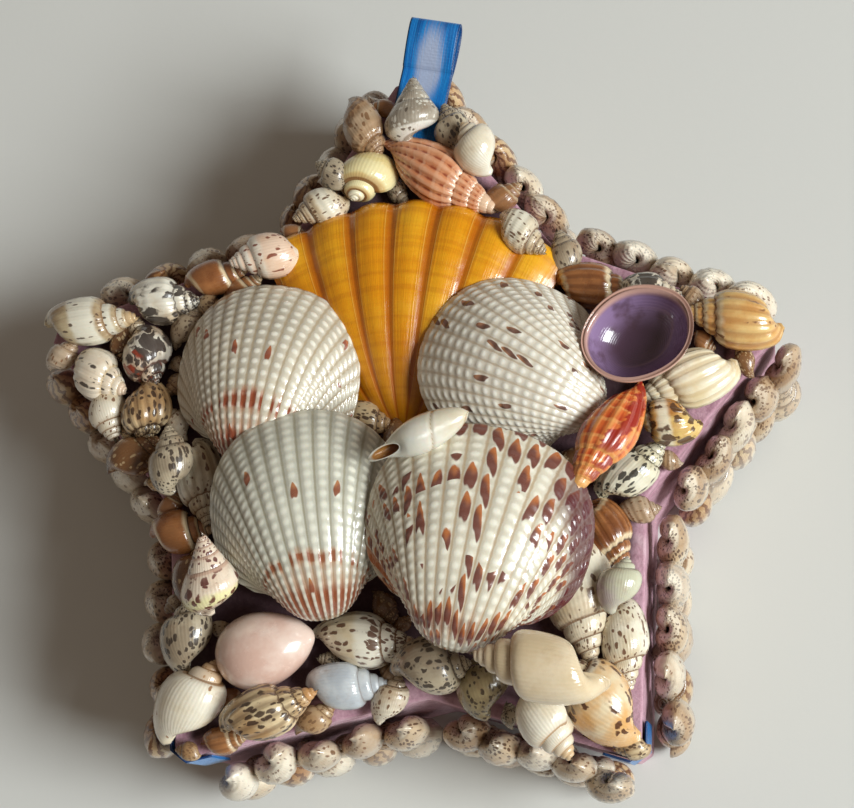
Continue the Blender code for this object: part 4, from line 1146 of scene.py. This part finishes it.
def layCup():
    length, width, depth, wall = (cup[key] * mm for key in ("length", "width", "depth", "wall"))
    rows, columns = 26, 72
    turn = np.linspace(0, 2 * math.pi, columns, endpoint=False)
    wave = 1 + 0.014 * np.cos(2 * turn + 0.6) + 0.008 * np.sin(5 * turn)
    points, growth, inside = [], [], []

    def ring(share, thick, hollow, lift=0.0):
        # a bowl that is deepest towards its hinge end
        shape = (1 - share**2.6) ** 0.62 if share < 1 else 0.0
        x = share * (length / 2 - thick) * np.cos(turn) * wave - 0.06 * length * shape
        y = share * (width / 2 - thick) * np.sin(turn) * wave
        z = np.full(columns, -(depth - thick) * shape + lift)
        points.append(np.stack([x, y, z], 1))
        growth.append(np.full(columns, share))
        inside.append(np.full(columns, hollow))

    for share in np.linspace(0.04, 1, rows):
        ring(share, 0.0, 0.0)
    ring(0.995, 0.25 * wall, 0.5, 0.16 * mm)
    ring(0.99, 0.6 * wall, 0.5, 0.13 * mm)
    for share in np.linspace(1, 0.04, rows):
        ring(share, wall, 1.0)
    count = len(points)
    skin = np.vstack(points)
    shell = Sculpt()
    faces = [f[::-1] for f in gridFaces(count, columns, True)]
    bottom, top = skin[:columns].mean(0), skin[-columns:].mean(0)
    size = len(skin)
    faces += [(size, c, (c + 1) % columns) for c in range(columns)]
    last = size - columns
    faces += [(size + 1, last + (c + 1) % columns, last + c) for c in range(columns)]
    shell.add(np.vstack([skin, bottom, top]), faces, growth=np.concatenate(growth + [[0.0, 0.0]]),
              inside=np.concatenate(inside + [[0.0, 1.0]]),
              around=np.concatenate([np.tile(turn, count), [0, 0]]))
    shell.place(turned(cup["heading"], cup["lean"], cup["roll"]))
    shell.centreOn(*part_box("purple_cup"))
    finish = Finish("purpleCup")
    grown, hollow = finish.mark("growth"), finish.mark("inside")
    where = finish.place()
    cloud = finish.noise(where, 230.0, 4)
    within = finish.mix(finish.span(grown, 0.35, 0.98), paint(82, 58, 76), paint(146, 120, 158))
    within = finish.mix(finish.span(cloud, 0.50, 0.68, 0.0, 0.65), within, paint(70, 44, 46))
    outside = finish.mix(finish.span(cloud, 0.35, 0.7), paint(206, 178, 168), paint(176, 140, 140))
    colour = finish.mix(finish.span(hollow, 0.6, 0.95), outside, within)
    edge = finish.span(grown, 0.93, 0.985)
    colour = finish.mix(finish.times(edge, 0.85), colour, paint(204, 160, 142))
    lines = finish.sum("SINE", finish.times(grown, 150.0))
    height = finish.plus(finish.times(lines, 0.3), finish.noise(where, 900.0, 3))
    material = finish.done(colour, 0.16, finish.bump(height, 0.00006, 0.5), Coat_Weight=0.8,
                           Coat_Roughness=0.05)
    piece = shell.build("purple_cup_valve", material)
    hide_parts("purple_cup")
    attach(piece, "lid")


layCup()
print("scallop and cup are on the lid")


# small whelks round the walls

walls = {
    "fromTip": (0.10, 0.285, 0.47, 0.655, 0.835), "length": 12.9, "width": 7.6, "thick": 6.2, "clear": -0.15,
    "overRibbon": 0.8, "top": 26.4, "topAtHinge": 23.4, "between": 0.74, "betweenAt": 0.53,
}
innerCorner = 40 * mm  # the star's inner corners lie nearer to the middle than this
hingeSide = -30 * mm  # the two tips with hinges lie below this
wallLooks = ["wallSpeckled", "wallPale", "wallFlamed"]
looks["wallSpeckled"] = {"ground": (206, 182, 150), "cloud": (172, 140, 106),
                         "spots": [((92, 66, 48), 24, 9, 0.34, 0.6)],
                         "bands": [(0.36, 0.50, (226, 212, 186), 0.6), (0.74, 1.2, (232, 222, 202), 0.6)],
                         "seam": ((110, 80, 56), 0.05), "cords": 8}
looks["wallPale"] = {"ground": (230, 218, 196), "cloud": (204, 182, 152),
                     "spots": [((116, 80, 54), 20, 8, 0.30, 0.5)], "seam": ((150, 116, 84), 0.05), "cords": 8}
looks["wallFlamed"] = {"ground": (212, 184, 142), "cloud": (166, 118, 72),
                       "flames": [((112, 70, 42), 10, 0.36, 1.0)],
                       "bands": [(0.30, 0.46, (234, 222, 198), 0.7)], "seam": ((96, 66, 44), 0.05)}


def fromTopTip(i):
    # how far round the star a point lies, anticlockwise from the top tip
    return (math.atan2(outline[i].y, outline[i].x) - math.radians(91)) % (2 * math.pi)


def layWallShells():
    corners = [i for i, p in enumerate(outline) if p.length < innerCorner]
    for number, corner in enumerate(sorted(corners, key=fromTopTip)):
        rng = random.Random(70 + number)
        cluster = Sculpt()
        before, here, after = (outline[(corner + k) % len(outline)] for k in (-1, 0, 1))
        for a, b in ((before, here), (here, after)):
            along = (b - a).normalized()
            outward = Vector((along.y, -along.x))
            facing = math.degrees(math.atan2(outward.y, outward.x))
            tipFirst = a.length > b.length
            ribboned = (a if tipFirst else b).y < hingeSide
            spots = [(share, row) for share in walls["fromTip"] for row in ("low", "high")]
            spots += [((p + q) / 2, "between") for p, q in zip(walls["fromTip"], walls["fromTip"][1:])]
            for share, row in spots:
                place = share if tipFirst else 1 - share
                size = walls["between"] if row == "between" else 1.0
                length = walls["length"] * rng.uniform(0.92, 1.0) * size * mm
                width = walls["width"] * rng.uniform(0.92, 1.05) * size * mm
                thick = walls["thick"] * rng.uniform(0.92, 1.04) * size * mm
                atHinge = ribboned and share == walls["fromTip"][0] and row == "high"
                down = row == "high" or rng.random() < 0.45
                tilt = turned(facing) @ turned(0, 0, rng.uniform(-10, 10)) @ turned(-facing)
                turn = tilt @ turned(facing + rng.uniform(-10, 10)) @ turned(0, -90 if down else 90)
                clear = walls["overRibbon"] if atHinge else walls["clear"]
                middle = a + (b - a) * place + outward * (clear * mm + thick / 2)
                top = walls["topAtHinge" if atHinge else "top"] * mm
                height = {"low": 0.5 * mm + length / 2, "high": top - length / 2,
                          "between": walls["betweenAt"] * wallTop}[row]
                kind = rng.choice(("egg", "egg", "globe" if row == "high" else "whelk"))
                ribs = rng.choice((0, 0, 0, 13))
                snail(cluster, kind, length, width, spin=(0 if down else 180) + rng.uniform(-35, 35),
                      seed=rng.random() * 9, tint=rng.uniform(-0.8, 0.7),
                      slot=rng.choice((0, 0, 1, 1, 2)), turn=turn,
                      middle=(middle.x, middle.y, height), flat=thick / width, perWhorl=36 if ribs else 22,
                      outsidePoints=10, insidePoints=4, whorls=3.0, ribs=ribs, ribHeight=0.05, closed=down)
        name = f"wall_shells_{number + 1}"
        piece = cluster.build(name + "_whelks", [finishOf(look) for look in wallLooks])
        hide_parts(name)
        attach(piece, "base")


layWallShells()
print("the walls are covered")

# small shells pressed into the gaps that the larger ones leave on the lid
fillers = {"grid": 0.6, "least": 1.1, "most": 2.9, "edge": 0.7, "wide": 2.45, "long": 1.4, "seed": 5}
fillerLooks = ["wallSpeckled", "mottled", "greySpeckled", "brownBanded", "darkBrown", "wallPale", "spotted"]


def openSpots():
    # a grid over the lid, with what each shell covers taken out; then the largest hole left, again and again
    step = fillers["grid"] * mm
    ticks = np.arange(-57 * mm, 57 * mm, step)
    x, y = (axis.ravel() for axis in np.meshgrid(ticks, ticks))

    def within(ring):
        inside = np.zeros(len(x), bool)
        for a, b in zip(ring, ring[1:] + ring[:1]):
            crosses = (a[1] > y) != (b[1] > y)
            rise = b[1] - a[1] if abs(b[1] - a[1]) > 1e-12 else 1e-12
            inside ^= crosses & (x < (b[0] - a[0]) * (y - a[1]) / rise + a[0])
        return inside

    def fromEdge(ring):
        least = np.full(len(x), 1.0)
        for a, b in zip(ring, ring[1:] + ring[:1]):
            d = np.array([b[0] - a[0], b[1] - a[1]])
            t = np.clip(((x - a[0]) * d[0] + (y - a[1]) * d[1]) / (d @ d + 1e-15), 0, 1)
            least = np.minimum(least, np.hypot(x - a[0] - t * d[0], y - a[1] - t * d[1]))
        return least

    star = [tuple(p) for p in outline]
    room = np.where(within(star), 1.0, 0.0)
    edge = fromEdge(star)
    for part in frame["record"]["subparts"]:
        name = part["node"]
        low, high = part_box(name)
        if high.z < lidTop + 1.5 * mm or name.startswith(("wall", "box", "hinge")):
            continue
        corners = [v.co.xy for v in frame["nodes"][name].data.vertices]
        ring = [tuple(corners[i]) for i in convex_hull_2d(corners)]
        room = np.minimum(room, np.where(within(ring), 0.0, fromEdge(ring)))
    room[edge < fillers["edge"] * mm] = 0.0
    spots = []
    while True:
        best = int(room.argmax())
        if room[best] < fillers["least"] * mm:
            return spots
        radius = min(room[best], fillers["most"] * mm)
        spots.append((x[best], y[best], radius))
        room = np.minimum(room, np.maximum(np.hypot(x - x[best], y - y[best]) - radius, 0.0))


def layFillers():
    rng = random.Random(fillers["seed"])
    heap = Sculpt()
    spots = openSpots()
    for x, y, radius in spots:
        width = fillers["wide"] * radius
        length = width * fillers["long"] * rng.uniform(0.9, 1.15)
        kind = rng.choice(("whelk", "whelk", "globe", "spindle"))
        ribs = rng.choice((0, 0, 12))
        small = radius < 1.8 * mm
        plain, fine = (18, 30) if small else (26, 40)
        # painted shade: the gap shells are only darkened, never paled, as they lie in shade between the
        # larger shells
        snail(heap, kind, length, width, spin=rng.uniform(-40, 40), seed=rng.random() * 9,
              tint=rng.uniform(0.0, 1.0), slot=rng.randrange(len(fillerLooks)),
              turn=turned(rng.uniform(0, 360), rng.uniform(-6, 12)),
              middle=(x, y, lidTop + 0.40 * width), perWhorl=fine if ribs else plain,
              outsidePoints=10, insidePoints=4, whorls=3.2 if small else 4.0, ribs=ribs, ribHeight=0.05)
    piece = heap.build("gap_shells", [finishOf(look) for look in fillerLooks])
    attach(piece, "lid")
    return len(spots)


print(layFillers(), "small shells fill the gaps")

ribbon = {
    "width": 7.2 * mm, "thick": 0.4 * mm, "loop": 17.2 * mm, "tail": 9.8 * mm, "rise": 2.6 * mm,
    "heading": 78,
    "blue": (8, 96, 176), "bright": (26, 140, 212), "navy": (8, 30, 82), "sheen": (176, 184, 206),
}


def ribbonSkin(sculpt, sheet, thick, **marks):
    # two faces and four edges round a grid of points
    rows, columns = sheet.shape[:2]
    normal = np.cross(np.gradient(sheet, axis=0), np.gradient(sheet, axis=1))
    normal /= np.linalg.norm(normal, axis=2)[:, :, None]
    size = rows * columns
    top, under = (sheet + normal * thick / 2).reshape(-1, 3), (sheet - normal * thick / 2).reshape(-1, 3)
    faces = gridFaces(rows, columns, False)
    faces += [tuple(size + i for i in face[::-1]) for face in faces]
    ring = list(range(columns)) + [r * columns + columns - 1 for r in range(1, rows)]
    ring += [(rows - 1) * columns + c for c in range(columns - 2, -1, -1)]
    ring += [r * columns for r in range(rows - 2, 0, -1)]
    for a, b in zip(ring, ring[1:] + ring[:1]):
        faces.append((b, a, a + size, b + size))
    sculpt.add(np.vstack([top, under]), faces,
               **{key: np.tile(np.ravel(value), 2) for key, value in marks.items()})


def satin(name, patch):
    finish = Finish(name)
    across, along = finish.mark("across"), finish.mark("along")
    where = finish.place()
    drawn = finish.vector(finish.times(across, 46.0), finish.times(along, 5.0), 0.0)
    threads = finish.noise(drawn, 1.0, 4, 0.7)
    # painted shade: broad navy patches where the satin would fall into folds
    foldShade = finish.noise(finish.vector(finish.times(across, 4.0), finish.times(along, 1.6), 3.0), 1.0, 3)
    colour = finish.mix(finish.span(threads, 0.35, 0.68), paint(*ribbon["blue"]), paint(*ribbon["bright"]))
    colour = finish.mix(finish.span(foldShade, 0.50, 0.68, 0.0, 0.45), colour, paint(*ribbon["navy"]))
    middle = finish.sum("ABSOLUTE", finish.minus(across, 0.5))
    colour = finish.mix(finish.span(middle, 0.455, 0.49, 0.0, 0.8), colour, paint(*ribbon["navy"]))
    if patch:
        # painted reflection: a pale sheen patch where the satin would mirror the window
        aside = finish.power(finish.times(finish.minus(across, 0.52), 3.0), 2.0)
        away = finish.power(finish.times(finish.minus(along, patch), 5.2), 2.0)
        off = finish.sum("SQRT", finish.plus(aside, away))
        ragged = finish.plus(off, finish.times(finish.minus(threads, 0.5), 1.1))
        colour = finish.mix(finish.span(ragged, 1.05, 0.45, 0.0, 0.85), colour, paint(*ribbon["sheen"]))
    weft = finish.sum("SINE", finish.times(along, 520.0))
    warp = finish.sum("SINE", finish.times(across, 260.0))
    height = finish.plus(finish.times(finish.plus(weft, warp), 0.2), threads)
    return finish.done(colour, finish.span(threads, 0.3, 0.7, 0.26, 0.42), finish.bump(height, 0.00006, 0.6),
                       Sheen_Weight=0.4,
                       Sheen_Roughness=0.3, Sheen_Tint=paint(150, 190, 240), Anisotropic=0.6,
                       Coat_Weight=0.15, Coat_Roughness=0.25)


def makePullLoop():
    # the tail lies double on the lid, the rest bows open to a fold
    width, thick, tail, rise = (ribbon[key] for key in ("width", "thick", "tail", "rise"))
    span = ribbon["loop"] - tail
    path = [(0.0, 0.5 * thick), (0.5 * tail, 0.5 * thick)]
    for share in np.linspace(0, 2, 41):
        side = -1 if share < 1 else 1
        reach = share if share <= 1 else 2 - share
        opening = 0.5 * rise * max(0.0, math.sin(math.pi * reach)) ** 0.8 * side
        up = thick + 0.5 * rise * reach + opening + 0.5 * side * thick * (1 - reach)
        path.append((tail + span * math.sin(reach * math.pi / 2), up))
    path += [(0.5 * tail, 1.5 * thick), (0.0, 1.5 * thick)]
    rows, columns = 110, 25
    line = smoothCurve(path, rows)
    across = np.broadcast_to(np.linspace(-1, 1, columns), (rows, columns))
    curl = 0.10 * mm * np.cos(np.linspace(0, 5 * math.pi, rows))[:, None] * across**2
    sheet = np.stack([across * width / 2, np.repeat(line[:, :1], columns, 1), line[:, 1:] + curl], 2)
    along = np.broadcast_to(np.linspace(0, 1, rows)[:, None], (rows, columns))
    loop = Sculpt()
    ribbonSkin(loop, sheet, 0.8 * thick, across=(across + 1) / 2, along=along)
    loop.place(turned(ribbon["heading"] - 90))
    loop.centreOn(*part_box("pull_loop"))
    piece = loop.build("pull_loop_ribbon", satin("blueSatin", 0.70))
    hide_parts("pull_loop")
    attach(piece, "lid")


def makeHinges():
    # a band round each lower tip, its foot on the wall and its top on the lid's edge
    finish = satin("blueSatinHinge", None)
    for name in ("hinge_ribbon_left", "hinge_ribbon_right"):
        low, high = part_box(name)
        heart = Vector(((low.x + high.x) / 2, (low.y + high.y) / 2)) * 0.82
        plan = sorted(planOf(name), key=lambda p: math.atan2(p[0] - heart.x, -(p[1] - heart.y)))
        corners = [((a[0] + b[0]) / 2, (a[1] + b[1]) / 2) for a, b in zip(plan[::2], plan[1::2])]
        sides = [np.linspace(a, b, n)[:-1] for a, b, n in zip(corners, corners[1:], (10, 8, 10))]
        path = np.vstack(sides + [corners[3]])
        rows = np.linspace(low.z, high.z, 44)
        sheet = np.stack([np.concatenate([path, np.full((len(path), 1), z)], 1) for z in rows])
        shares = np.broadcast_to(np.linspace(0, 1, len(rows))[:, None], sheet.shape[:2])
        acrossShares = np.broadcast_to(np.linspace(0, 1, len(path))[None, :], sheet.shape[:2])
        band = Sculpt()
        ribbonSkin(band, sheet, ribbon["thick"] * 0.8, across=shares, along=acrossShares)
        piece = band.build(name + "_satin", finish)
        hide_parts(name)
        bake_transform(piece)


makePullLoop()
makeHinges()
print("pull loop and hinge ribbons are tied on")
